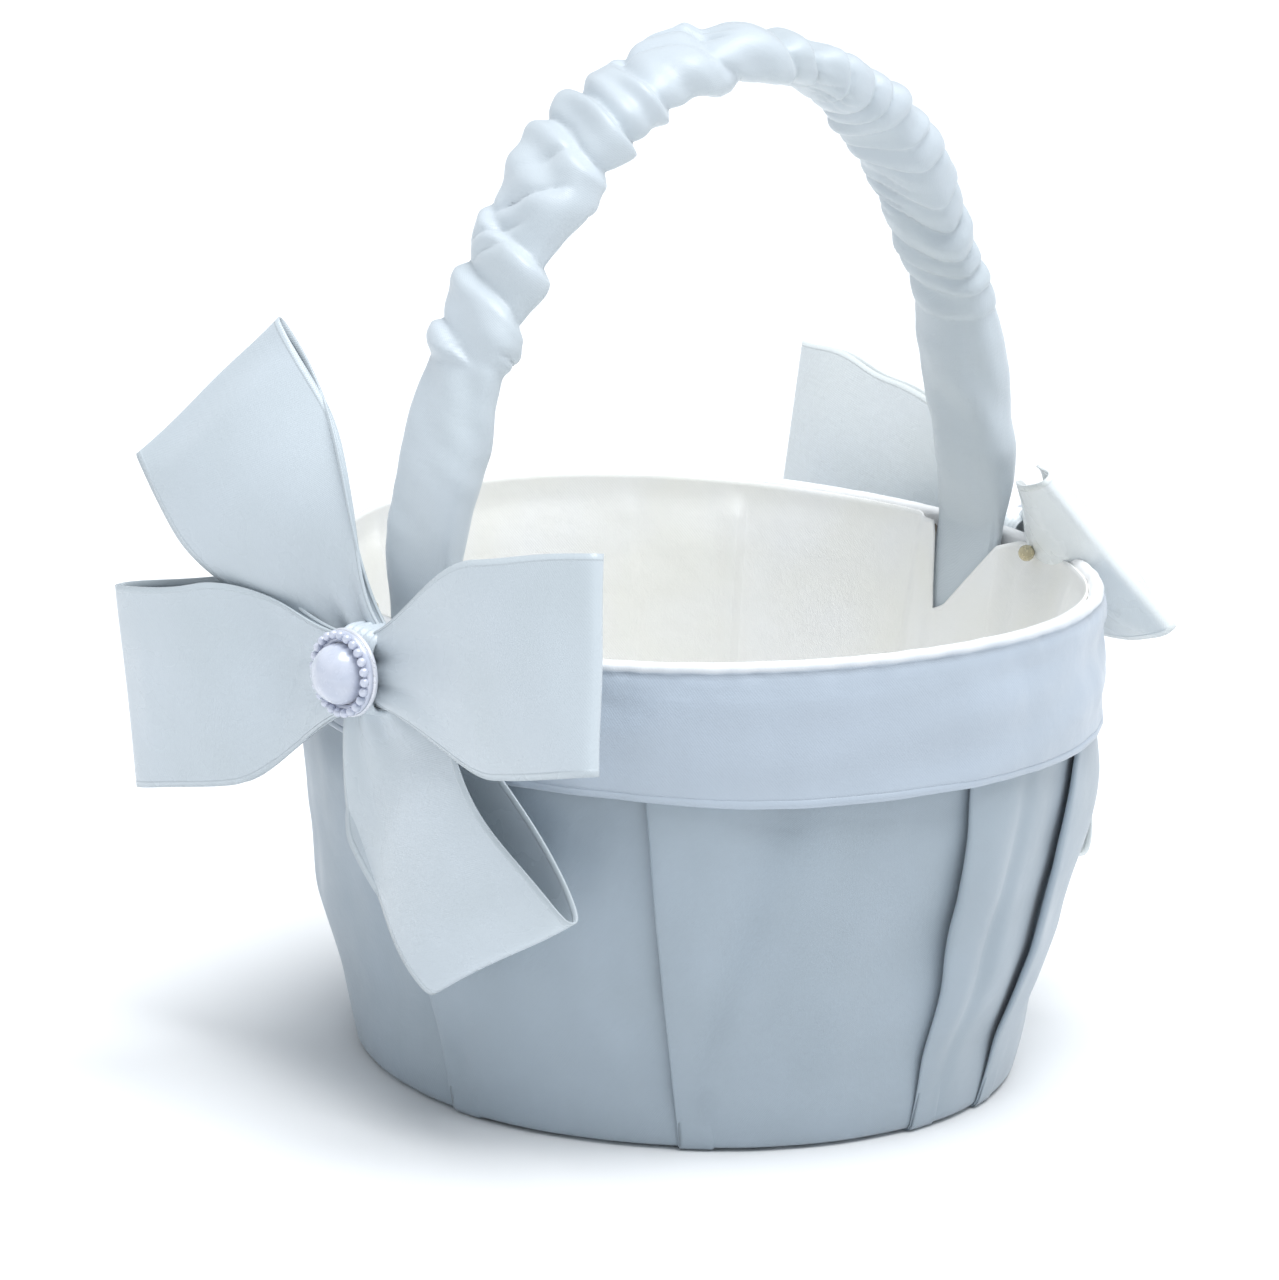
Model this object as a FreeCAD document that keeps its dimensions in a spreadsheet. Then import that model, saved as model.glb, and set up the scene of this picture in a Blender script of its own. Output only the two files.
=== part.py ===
import FreeCAD, Part
import math
import os
import re
import Sketcher
from FreeCAD import Placement, Rotation, Vector

# Flower girl basket: a round card basket dressed in satin, with a ribbon cuff over the rim,
# a satin lining, a flat arched handle in a ruched satin sleeve, and at each handle foot a
# double satin bow with a pearl brooch.
#
# Frame: origin at the centre of the underside, +Z up, the handle's arch in the XZ plane.
# Millimetres and degrees.  Every size is one cell of the sheet "Sizes".

SIZES = [
    # alias, value, what it is
    ("rim_radius", 75.0, "outside of the cuff at the rim"),
    ("rim_height", 95.0, "top of the cuff above the floor"),
    ("base_radius", 62.0, "outside of the card wall at its foot"),
    ("seat_gap", 0.2, "clearance between a soft piece and what it lies on"),
    ("board", 1.2, "thickness of the card wall"),
    ("base_thickness", 2.0, "thickness of the card disc in the bottom"),
    ("under_cloth", 1.2, "thickness of the cloth disc under the bottom"),
    ("wire_radius", 0.6, "radius of the hoop wire on the wall's top edge"),
    ("cuff_height", 24.5, "depth of the satin cuff"),
    ("cuff_flare", 1.4, "how much wider the cuff is at its lower edge"),
    ("cuff_cloth", 0.8, "thickness of the cuff's skirt"),
    ("cuff_roll", 1.7, "thickness of the rolled cloth on top of the rim"),
    ("shoulder_drop", 7.5, "the pleated cover's shoulder below the cuff's edge"),
    ("waist_drop", 16.0, "its waist below the shoulder"),
    ("hip_height", 31.0, "its hip, heel and hem above the floor"),
    ("heel_height", 15.0, ""),
    ("hem_height", 0.4, ""),
    ("shoulder_puff", 5.4, "fullness of the cover over the card wall at each of those"),
    ("waist_puff", 6.4, ""),
    ("hip_puff", 5.6, ""),
    ("heel_puff", 3.0, ""),
    ("hem_puff", 1.0, "fullness of the hem over the card disc"),
    ("cover_drop", 2.0, "the cover's glued edge below the top of the card wall"),
    ("cover_lap", 2.0, "depth of that edge"),
    ("cuff_round", 1.0, "rounding of the cuff's top outer edge"),
    ("lining_cloth", 0.9, "thickness of the lining"),
    ("lining_slack", 0.1, "extra room between the lining and the wall at the rim"),
    ("foot_pad_cloth", 1.2, "cloth of the lining over a handle foot"),
    ("foot_pad_side", 1.5, "how far that cloth reaches beside the sleeve"),
    ("foot_pad_low", 3.0, "how far it reaches below the strip"),
    ("foot_room", 0.5, "room under the strip's end in its slot"),
    ("pad_thickness", 6.0, "padded floor inside"),
    ("pad_crown", 2.0, "extra height of the padded floor in its middle"),
    ("pad_round_high", 2.0, "rounding of its top edge, upwards and inwards"),
    ("pad_round_wide", 3.0, ""),
    ("foot_gap", 0.45, "room between a sleeved foot of the handle and the wall"),
    ("handle_rise", 97.3, "height of the strip's centreline above the rim"),
    ("crown_inset", 12.9, "how much less than half the span the arch's top arc's radius is"),
    ("strip_width", 12.0, "handle strip"),
    ("strip_thickness", 1.5, ""),
    ("strip_foot", 35.0, "length of the strip below the rim, inside the wall"),
    ("sleeve_width", 20.0, "ruched satin sleeve of the handle"),
    ("sleeve_thickness", 9.0, ""),
    ("sleeve_gap", 0.3, "room between the strip and its sleeve"),
    ("sleeve_foot", 12.0, "length of the flattened sleeve below the rim"),
    ("sleeve_foot_cloth", 0.5, "cloth on each face of the flattened sleeve"),
    ("sleeve_neck", 10.0, "height above the rim where the sleeve is full"),
    ("glue_radius", 1.6, "dab of hot glue"),
    ("glue_angle", 15.5, "angle round the rim from a handle foot to its dab"),
    ("glue_depth", 3.0, "depth of the dab below the rim"),
    ("bow_drop", 8.0, "the bows' middles below the rim"),
    ("bow_gap", 0.8, "room between the cuff's widest place and the first ribbon layer"),
    ("ribbon_width", 39.0, "satin ribbon"),
    ("ribbon_cloth", 0.9, ""),
    ("loop_length", 65.0, "from the knot to the fold"),
    ("loop_depth", 13.0, "opening of a loop near its fold"),
    ("fan_angle", 57.0, "least angle between a loop and the next one over or under it"),
    ("gather_height", 14.0, "width of the ribbon gathered in the knot"),
    ("gather_depth", 4.0, "thickness of the two gathered layers"),
    ("layer_gap", 0.3, "room between the two ribbons and round the knot"),
    ("knot_width", 10.0, "width of the ribbon wrapped round the knot"),
    ("knot_cloth", 0.8, ""),
    ("brooch_radius", 7.7, "pearl brooch"),
    ("brooch_plate", 1.2, ""),
    ("bezel_height", 1.3, ""),
    ("bezel_wall", 1.5, ""),
    ("bead_radius", 0.95, ""),
    ("bead_count", 22, ""),
    ("pearl_radius", 5.5, ""),
    ("pearl_height", 4.6, ""),
]

# Direction of each loop in the plane of its bow, in degrees from +Y towards +Z.  The left bow
# sits at -X and the right one at +X.
LEFT_LOOPS = {"ribbon_a": (43.8, 233.4), "ribbon_b": (-13.8, 169.1)}
RIGHT_LOOPS = {"ribbon_a": (-52.0, -80.0), "ribbon_b": (8.0,)}
WRAPPED_LOOP_TILT = 10.0
WRAPPED_LOOP_BACK = 1.0

doc = FreeCAD.newDocument("flower_girl_basket")
sheet = doc.addObject("Spreadsheet::Sheet", "Sizes")
for row, (alias, value, note) in enumerate(SIZES, start=1):
    sheet.set(f"A{row}", note)
    sheet.set(f"B{row}", str(value))
    sheet.setAlias(f"B{row}", alias)
doc.recompute()
NODES = []


def size(formula):
    """The value of a formula written with the sheet's aliases, such as 'rim_radius - board'."""
    return float(sheet.evalExpression(formula))


def bound(formula):
    """The same formula for setExpression, with each alias read from the sheet."""
    aliases = {entry[0] for entry in SIZES}
    return re.sub(r"[a-z_]+", lambda word: "Sizes." * (word[0] in aliases) + word[0], formula)


def plane(body, role):
    return next(item for item in body.Origin.OriginFeatures if item.Role == role)


def new_body(label):
    body = doc.addObject("PartDesign::Body", label)
    body.Label = label
    NODES.append(body)
    return body


def outline_sketch(body, name, role, corners):
    """A closed polygon; each corner is a pair of formulas, held by driving distances."""
    sketch = body.newObject("Sketcher::SketchObject", name)
    sketch.AttachmentSupport = [(plane(body, role), "")]
    sketch.MapMode = "FlatFace"
    places = [Vector(size(across), size(up), 0) for across, up in corners]
    count = len(corners)
    for number in range(count):
        sketch.addGeometry(Part.LineSegment(places[number], places[(number + 1) % count]))
    for number in range(count):
        sketch.addConstraint(
            Sketcher.Constraint("Coincident", number, 2, (number + 1) % count, 1))
    for number, corner in enumerate(corners):
        for kind, formula, axis in (("DistanceX", corner[0], -2), ("DistanceY", corner[1], -1)):
            value = size(formula)
            if abs(value) < 1e-9:
                sketch.addConstraint(Sketcher.Constraint("PointOnObject", number, 1, axis))
                continue
            index = sketch.addConstraint(
                Sketcher.Constraint(kind, -1, 1, number, 1, value))
            sketch.setExpression(f"Constraints[{index}]", bound(formula))
    return sketch


def revolve(body, name, corners):
    """A solid of revolution about Z of an outline in the XZ plane."""
    sketch = outline_sketch(body, name + "_outline", "XZ_Plane", corners)
    feature = body.newObject("PartDesign::Revolution", name)
    feature.Profile = sketch
    feature.ReferenceAxis = (sketch, ["V_Axis"])
    feature.Angle = 360
    return feature


def turned(label, corners):
    body = new_body(label)
    revolve(body, label + "_turn", corners)
    return body


def shape_node(label, shape):
    node = doc.addObject("Part::Feature", label)
    node.Label = label
    node.Shape = shape
    NODES.append(node)
    return node


# ---------------------------------------------------------------- basket

FLOOR_TOP = "(under_cloth + base_thickness)"
WIRE_TOP = "(rim_height - cuff_roll - seat_gap)"
WALL_TOP = "(rim_height - cuff_roll - seat_gap - 2 * wire_radius)"
WALL_RADIUS = "(rim_radius - cuff_cloth - 2 * seat_gap)"
WALL_SLOPE = f"(({WALL_RADIUS} - base_radius) / ({WALL_TOP} - {FLOOR_TOP}))"
LINING_LOW = f"({FLOOR_TOP} + seat_gap)"
LINING_TOP = "(rim_height - cuff_roll)"

BOW_STANDOFF = "(rim_radius + cuff_flare + bow_gap)"
LOOP_FULL = "(ribbon_width / 2 / tan(fan_angle / 2) + layer_gap)"


def wall_outside(height):
    """Formula for the outside radius of the card wall at a height."""
    return f"(base_radius + {WALL_SLOPE} * ({height} - {FLOOR_TOP}))"


def wall_inside(height):
    return f"({wall_outside(height)} - board)"


def cover_outside(height, puff):
    return f"({wall_outside(height)} + {puff})"


LINING_LOW_RADIUS = f"({wall_inside(LINING_LOW)} - seat_gap)"
LINING_TOP_RADIUS = f"({wall_inside(WALL_TOP)} - seat_gap - lining_slack)"
LINING_SLOPE = f"(({LINING_TOP_RADIUS} - {LINING_LOW_RADIUS}) / ({LINING_TOP} - {LINING_LOW}))"


def lining_inside(height):
    return f"({LINING_TOP_RADIUS} - lining_cloth - {LINING_SLOPE} * ({LINING_TOP} - {height}))"


def build_card():
    """Card wall standing on a card disc, with a wire hoop along the wall's top edge."""
    turned("base_board", [
        ("0", "under_cloth"),
        ("base_radius", "under_cloth"),
        ("base_radius", FLOOR_TOP),
        ("0", FLOOR_TOP),
    ])
    turned("wall_board", [
        (wall_inside(FLOOR_TOP), FLOOR_TOP),
        (wall_outside(FLOOR_TOP), FLOOR_TOP),
        (wall_outside(WALL_TOP), WALL_TOP),
        (wall_inside(WALL_TOP), WALL_TOP),
    ])
    hoop = doc.addObject("Part::Torus", "rim_wire")
    hoop.Label = "rim_wire"
    hoop.setExpression("Radius1", bound(f"{WALL_RADIUS} - wire_radius"))
    hoop.setExpression("Radius2", bound("wire_radius"))
    hoop.setExpression("Placement.Base.z", bound(f"{WIRE_TOP} - wire_radius"))
    NODES.append(hoop)


def build_cloth():
    """Cloth of the basket: disc underneath, pleated cover, cuff, lining and padded floor."""
    turned("base_cover", [
        ("0", "0"),
        ("base_radius - 1", "0"),
        ("base_radius", "1"),
        ("base_radius", "under_cloth"),
        ("0", "under_cloth"),
    ])
    cuff_inside = "(rim_height - cuff_roll)"
    cuff_edge = "(rim_height - cuff_height)"
    shoulder = f"({cuff_edge} - shoulder_drop)"
    levels = [("heel_height", "heel_puff"), ("hip_height", "hip_puff"),
              (f"({shoulder} - waist_drop)", "waist_puff"), (shoulder, "shoulder_puff")]
    outer = [(cover_outside(height, puff), height) for height, puff in levels]
    tuck = f"({cuff_edge} - seat_gap)"
    cover_glued = f"({WALL_TOP} - cover_drop - cover_lap)"
    under_cuff = "(rim_radius + cuff_flare - cuff_cloth - seat_gap)"
    turned("outer_cover", [
        ("base_radius + seat_gap", "hem_height"),
        ("base_radius + hem_puff", "hem_height"),
        *outer,
        (under_cuff, tuck),
        (f"{wall_outside(WALL_TOP)} + seat_gap", f"{WALL_TOP} - cover_drop"),
        (f"{wall_outside(cover_glued)} + seat_gap", cover_glued),
        ("base_radius + seat_gap", FLOOR_TOP),
    ])
    turned("cuff_band", [
        (f"{wall_inside(WALL_TOP)} - seat_gap", cuff_inside),
        ("rim_radius - cuff_cloth", cuff_inside),
        ("rim_radius + cuff_flare - cuff_cloth", cuff_edge),
        ("rim_radius + cuff_flare", cuff_edge),
        ("rim_radius", "rim_height - cuff_round"),
        ("rim_radius - cuff_round", "rim_height"),
        (f"{wall_inside(WALL_TOP)} - seat_gap", "rim_height"),
    ])
    build_lining()
    pad_top = f"({FLOOR_TOP} + seat_gap + pad_thickness)"
    pad_side = f"({wall_inside(FLOOR_TOP)} - lining_cloth - 3 * seat_gap)"
    turned("floor_pad", [
        ("0", f"{FLOOR_TOP} + seat_gap"),
        (pad_side, f"{FLOOR_TOP} + seat_gap"),
        (pad_side, f"{pad_top} - pad_round_high"),
        (f"{pad_side} - pad_round_wide", pad_top),
        (f"{pad_side} / 2", f"{pad_top} + pad_crown * 0.8"),
        ("0", f"{pad_top} + pad_crown"),
    ])


# ---------------------------------------------------------------- handle

FOOT_THICKNESS = "(strip_thickness + 2 * sleeve_gap + 2 * sleeve_foot_cloth)"
HALF_SPAN = (f"(sqrt({wall_inside(WALL_TOP)} ^ 2 - (sleeve_width / 2) ^ 2)"
             f" - {FOOT_THICKNESS} / 2 - foot_gap)")
SLOPE_ANGLE = math.degrees(math.atan(size(WALL_SLOPE)))


def foot_block(thickness, width, top, bottom):
    """A block along one strip foot, at +X, leaning with the wall; top and bottom are heights
    above the rim, measured along the foot."""
    block = Part.makeBox(thickness, width, top - bottom,
                         Vector(-thickness / 2, -width / 2, bottom))
    lean = Rotation(Vector(0, 1, 0), SLOPE_ANGLE)
    block.Placement = Placement(Vector(size(HALF_SPAN), 0, size("rim_height")), lean)
    return block


def both_feet(shape):
    """The shape at +X and its copy turned half round, at -X."""
    other = shape.copy()
    other.rotate(Vector(0, 0, 0), Vector(0, 0, 1), 180)
    return [shape, other]


def side_radius(half, rise, crown):
    """Radius of the side arcs that stand upright at half the span and meet the top arc."""
    return (half ** 2 + rise ** 2 - 2 * rise * crown) / (2 * (half - crown))


def arch(thickness, width):
    """The three-centred arch of the handle above the rim: two side arcs upright at the rim,
    tangent to a top arc, given a thickness in its plane and a width along Y."""
    half = size(HALF_SPAN)
    rise = size("handle_rise")
    crown = half - size("crown_inset")
    side = side_radius(half, rise, crown)
    top = Vector(0, 0, rise - crown)
    right = Vector(half - side, 0, 0)
    joint = (top - right).normalize()
    turn = math.atan2(joint.z, joint.x)

    def arc(centre, radius, start, end):
        def at(angle):
            return centre + Vector(math.cos(angle), 0, math.sin(angle)) * radius
        return Part.Arc(at(start), at((start + end) / 2), at(end)).toShape()

    def half_line(offset):
        left = Vector(-right.x, 0, 0)
        return [arc(right, side + offset, 0, turn),
                arc(top, crown + offset, turn, math.pi - turn),
                arc(left, side + offset, math.pi - turn, math.pi)]

    outer = half_line(thickness / 2)
    inner = half_line(-thickness / 2)
    ends = [Part.makeLine(Vector(sign * (half + thickness / 2), 0, 0),
                          Vector(sign * (half - thickness / 2), 0, 0)) for sign in (1, -1)]
    wire = Part.Wire(Part.__sortEdges__(outer + inner + ends))
    face = Part.Face(wire)
    face.translate(Vector(0, -width / 2, size("rim_height")))
    return face.extrude(Vector(0, width, 0))


def build_handle():
    """Flat strip bent into the arch, its feet inside the wall, and the satin sleeve round it."""
    thickness = size("strip_thickness")
    width = size("strip_width")
    foot = size("strip_foot")
    core = arch(thickness, width)
    for block in both_feet(foot_block(thickness, width, 0.2, -foot)):
        core = core.fuse(block)
    shape_node("handle_core", core.removeSplitter())

    gap = size("sleeve_gap")
    full = arch(size("sleeve_thickness"), size("sleeve_width"))
    neck = size("sleeve_neck")
    rim = size("rim_height")
    reach = 4 * size(HALF_SPAN)
    low = Part.makeBox(reach, reach, neck, Vector(-reach / 2, -reach / 2, rim))
    sleeve = full.cut(low)
    flat = size(FOOT_THICKNESS)
    wide = size("sleeve_width")
    for block in both_feet(foot_block(flat, wide, 0.3, -size("sleeve_foot"))):
        sleeve = sleeve.fuse(block)
    for side in (1, -1):
        sleeve = sleeve.fuse(neck_loft(side, flat, wide))
    hollow = arch(thickness + 2 * gap, width + 2 * gap)
    for block in both_feet(foot_block(thickness + 2 * gap, width + 2 * gap, 0.4, -foot)):
        hollow = hollow.fuse(block)
    shape_node("handle_sleeve", sleeve.cut(hollow))


def neck_loft(side, flat, wide):
    """The stretch where the sleeve swells from its flattened foot to its full thickness."""
    neck = size("sleeve_neck")
    level = size("rim_height")
    half = size(HALF_SPAN)
    radius = side_radius(half, size("handle_rise"), half - size("crown_inset"))
    sag = radius - math.sqrt(radius ** 2 - neck ** 2)
    sections = []
    for height, thickness, middle in ((0, flat, half), (neck, size("sleeve_thickness"),
                                                        half - sag)):
        corners = [Vector(side * middle + x * thickness / 2, y * wide / 2, level + height)
                   for x, y in ((-1, -1), (1, -1), (1, 1), (-1, 1), (-1, -1))]
        sections.append(Part.makePolygon(corners))
    return Part.makeLoft(sections, True, True)


def build_lining():
    """Thin lining, thick round each handle foot, where a slot open to the wall holds it."""
    body = new_body("lining")
    revolve(body, "lining_shell", [
        (f"{LINING_LOW_RADIUS} - lining_cloth", LINING_LOW),
        (LINING_LOW_RADIUS, LINING_LOW),
        (LINING_TOP_RADIUS, LINING_TOP),
        (f"{LINING_TOP_RADIUS} - lining_cloth", LINING_TOP),
    ])
    pocket_low = "(rim_height - strip_foot - foot_pad_low)"
    depth = f"(2 * seat_gap + {FOOT_THICKNESS} + foot_pad_cloth)"
    half_cloth = "lining_cloth / 2"
    outline = outline_sketch(body, "foot_pad_outline", "XZ_Plane", [
        (f"{lining_inside(pocket_low)} - {depth}", pocket_low),
        (f"{lining_inside(pocket_low)} + {half_cloth}", pocket_low),
        (f"{lining_inside(LINING_TOP)} + {half_cloth}", LINING_TOP),
        (f"{lining_inside(LINING_TOP)} - {depth}", LINING_TOP),
    ])
    pad = body.newObject("PartDesign::Revolution", "foot_pad")
    pad.Profile = outline
    pad.ReferenceAxis = (outline, ["V_Axis"])
    pad.Midplane = True
    half_turn = f"asin((sleeve_width / 2 + foot_pad_side) / ({lining_inside(LINING_TOP)} - {depth}))"
    pad.setExpression("Angle", bound(f"2 * {half_turn}"))
    slot_low = "(rim_height - strip_foot - foot_room)"
    slot_in = f"({HALF_SPAN} - {FOOT_THICKNESS} / 2 - sleeve_gap)"
    slot_out = "rim_radius"
    lean = f"({WALL_SLOPE} * (strip_foot + foot_room))"
    slot = outline_sketch(body, "foot_slot_outline", "XZ_Plane", [
        (f"{slot_in} - {lean}", slot_low),
        (f"{slot_out} - {lean}", slot_low),
        (slot_out, "rim_height"),
        (slot_in, "rim_height"),
    ])
    cut = body.newObject("PartDesign::Pocket", "foot_slot")
    cut.Profile = slot
    cut.Midplane = True
    cut.setExpression("Length", bound("sleeve_width + 2 * sleeve_gap"))
    doc.recompute()
    turn = body.newObject("PartDesign::PolarPattern", "both_feet")
    turn.Originals = [pad, cut]
    turn.Axis = (outline, ["V_Axis"])
    turn.Angle = 360
    turn.Occurrences = 2
    body.Tip = turn
    return body


def build_glue():
    """A dab of hot glue on the lining beside each handle foot."""
    for name, angle in (("glue_dab_left", 180 - size("glue_angle")),
                        ("glue_dab_right", -size("glue_angle"))):
        dab = doc.addObject("Part::Sphere", name)
        dab.Label = name
        dab.setExpression("Radius", bound("glue_radius"))
        height = "(rim_height - glue_depth)"
        off_lining = f"((glue_radius + seat_gap) * sqrt(1 + {LINING_SLOPE} ^ 2))"
        ring = f"({lining_inside(height)} - {off_lining})"
        dab.setExpression("Placement.Base.x", bound(f"{ring}") + f" * cos({angle})")
        dab.setExpression("Placement.Base.y", bound(f"{ring}") + f" * sin({angle})")
        dab.setExpression("Placement.Base.z", bound(height))
        NODES.append(dab)


# ---------------------------------------------------------------- bows

def prism(wire, length):
    """The solid that a flat wire sweeps along a vector, half of it on each side of the wire."""
    face = Part.Face(wire)
    face.translate(length * -0.5)
    solid = face.extrude(length)
    if solid.Volume < 0:
        solid.reverse()
    return solid


def loop_band(depth_offset):
    """One loop of ribbon lying along local +X, its width along local Y and its opening along
    local +Z: flat back layer, round fold at the far end, front layer coming down to the neck."""
    length = size("loop_length")
    depth = size("loop_depth")
    cloth = size("ribbon_cloth")
    neck = size(LOOP_FULL)
    low = depth_offset
    fold = length - depth / 2

    def outline(shrink, start):
        top = low + depth - shrink
        bottom = low + shrink
        near = low + size("gather_depth") - shrink if start == 0 else bottom + cloth / 4
        points = [Vector(start, 0, bottom), Vector(fold, 0, bottom),
                  Vector(fold + depth / 2 - shrink, 0, low + depth / 2), Vector(fold, 0, top)]
        edges = [Part.makeLine(points[0], points[1]),
                 Part.Arc(points[1], points[2], points[3]).toShape()]
        if start == 0:
            shoulder = Vector(neck, 0, near)
            edges += [Part.makeLine(points[3], shoulder),
                      Part.makeLine(shoulder, Vector(0, 0, near)),
                      Part.makeLine(Vector(0, 0, near), points[0])]
        else:
            edges += [Part.makeLine(points[3], Vector(start, 0, near)),
                      Part.makeLine(Vector(start, 0, near), points[0])]
        return Part.Wire(edges)

    width = size("ribbon_width")
    band = prism(outline(0, 0), Vector(0, width, 0))
    return band.cut(prism(outline(cloth, neck + 3), Vector(0, width, 0))).common(taper(low))


def taper(low):
    """The ribbon's plan: gathered at the knot, full width where it is clear of the others."""
    half = size("ribbon_width") / 2
    gathered = size("gather_height") / 2
    full = size(LOOP_FULL)
    far = size("loop_length + layer_gap")
    corners = [(0, -gathered), (full, -half), (far, -half), (far, half), (full, half),
               (0, gathered), (0, -gathered)]
    plan = Part.makePolygon([Vector(x, y, low) for x, y in corners])
    return prism(plan, Vector(0, 0, 4 * size("loop_depth")))


def wrapped_loop(depth_offset):
    """A loop that lies round the basket from the bow at +X towards -Y: its plan is bounded by
    an arc about the basket's axis, the round fold, and a front layer back to the neck."""
    back = size(BOW_STANDOFF) + depth_offset + WRAPPED_LOOP_BACK
    depth = size("loop_depth")
    cloth = size("ribbon_cloth")
    turn = size("loop_length") / back

    def at(radius, angle):
        return Vector(radius * math.cos(angle), -radius * math.sin(angle), 0)

    def outline(shrink, start, near):
        fold = turn - depth / 2 / back
        inner = back + shrink
        outer = back + depth - shrink
        tip = at(back + depth / 2, turn - shrink / back)
        first = at(inner, start)
        return Part.Wire([
            Part.Arc(first, at(inner, (start + fold) / 2), at(inner, fold)).toShape(),
            Part.Arc(at(inner, fold), tip, at(outer, fold)).toShape(),
            Part.Arc(at(outer, fold), at((near + 2 * outer) / 3, (start + 2 * fold) / 3),
                     at(near, start)).toShape(),
            Part.makeLine(at(near, start), first)])

    near = size(BOW_STANDOFF) + depth_offset + size("gather_depth")
    width = size("ribbon_width")
    band = prism(outline(0, 0, near), Vector(0, 0, width))
    band = band.cut(prism(outline(cloth, 0.5 * turn, back + cloth + 1.5), Vector(0, 0, width)))
    half = width / 2
    gathered = size("gather_height") / 2
    full = -size(LOOP_FULL)
    far = -2 * back
    corners = [(1, -gathered), (full, -half), (far, -half), (far, half), (full, half),
               (1, gathered), (1, -gathered)]
    side = Part.makePolygon([Vector(0, y, z) for y, z in corners])
    band = band.common(prism(side, Vector(4 * back, 0, 0)))
    band.rotate(Vector(0, 0, 0), Vector(1, 0, 0), -WRAPPED_LOOP_TILT)
    band.translate(Vector(0, 0, size("rim_height - bow_drop")))
    return band


def lay_in_bow(shape, side, angle):
    """Places local axes in a bow: X along the loop's direction, Z outwards.  side is +1 for
    the bow at +X and -1 for the one at -X; angle runs from +Y towards +Z."""
    turn = math.radians(angle)
    along = Vector(0, math.cos(turn), math.sin(turn))
    outwards = Vector(side, 0, 0)
    across = outwards.cross(along)
    place = FreeCAD.Matrix(along.x, across.x, outwards.x, side * size(BOW_STANDOFF),
                           along.y, across.y, outwards.y, 0,
                           along.z, across.z, outwards.z, size("rim_height - bow_drop"))
    shape.Placement = Placement(place).multiply(shape.Placement)
    return shape


def middle_block(side, width, height, low, high):
    """A block square to the basket at the middle of a bow, between two depths."""
    block = Part.makeBox(width, height, high - low, Vector(-width / 2, -height / 2, low))
    return lay_in_bow(block, side, 0)


def gather_block(side, depth_offset):
    """The gathered middle of a ribbon, inside the knot."""
    return middle_block(side, size("knot_width") + 4, size("gather_height"),
                        depth_offset, depth_offset + size("gather_depth"))


def knot_room(side):
    """The space of the knot, which the loops leave free."""
    height = size("gather_height + 2 * knot_cloth + 4 * layer_gap")
    reach = size("loop_depth")
    return middle_block(side, size("knot_width + 2 * layer_gap"), height, -reach, reach)


def build_bow(name, side, loops):
    """Two ribbons, one over the other, the ribbon wrapped round their middle and the brooch."""
    gap = size("layer_gap")
    layer = size("gather_depth") + gap
    for number, (ribbon, angles) in enumerate(loops.items()):
        offset = number * layer
        bands = [lay_in_bow(loop_band(offset), side, angle) for angle in angles]
        if side == 1 and ribbon == "ribbon_b":
            bands.append(wrapped_loop(offset))
        solid = gather_block(side, offset)
        for band in bands:
            solid = solid.fuse(band.cut(knot_room(side)))
        shape_node(f"{name}_{ribbon}", solid)
    build_knot(name, side)
    build_brooch(name, side)


def build_knot(name, side):
    """A ring of ribbon round the two gathered middles, cut square from a box."""
    body = new_body(f"{name}_knot")
    stack = "(2 * gather_depth + layer_gap)"
    inner_back = f"({BOW_STANDOFF} - layer_gap)"
    inner_front = f"({BOW_STANDOFF} + {stack} + layer_gap)"
    inner_top = "(gather_height / 2 + layer_gap)"
    outer = [(f"{inner_back} - knot_cloth", f"-({inner_top} + knot_cloth)"),
             (f"{inner_front} + knot_cloth", f"-({inner_top} + knot_cloth)"),
             (f"{inner_front} + knot_cloth", f"{inner_top} + knot_cloth"),
             (f"{inner_back} - knot_cloth", f"{inner_top} + knot_cloth")]
    inner = [(inner_back, f"-({inner_top})"), (inner_front, f"-({inner_top})"),
             (inner_front, inner_top), (inner_back, inner_top)]
    pad = body.newObject("PartDesign::Pad", f"{name}_knot_block")
    pad.Profile = outline_sketch(body, f"{name}_knot_outside", "XZ_Plane", outer)
    pad.Midplane = True
    pad.setExpression("Length", bound("knot_width"))
    pocket = body.newObject("PartDesign::Pocket", f"{name}_knot_hole")
    pocket.Profile = outline_sketch(body, f"{name}_knot_inside", "XZ_Plane", inner)
    pocket.Midplane = True
    pocket.setExpression("Length", bound("knot_width + 2"))
    place_on_bow(body, side, "0")


def place_on_bow(body, side, outwards):
    """Turns a body to face out of its bow and moves it to the bow's middle; outwards is the
    distance from the basket's axis, or 0 for a body already modelled at its distance."""
    body.Placement = Placement(Vector(0, 0, 0), Rotation(Vector(0, 0, 1), 90 - 90 * side))
    body.setExpression("Placement.Base.x", f"{side} * ({bound(outwards)})")
    body.setExpression("Placement.Base.z", bound("rim_height - bow_drop"))


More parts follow.
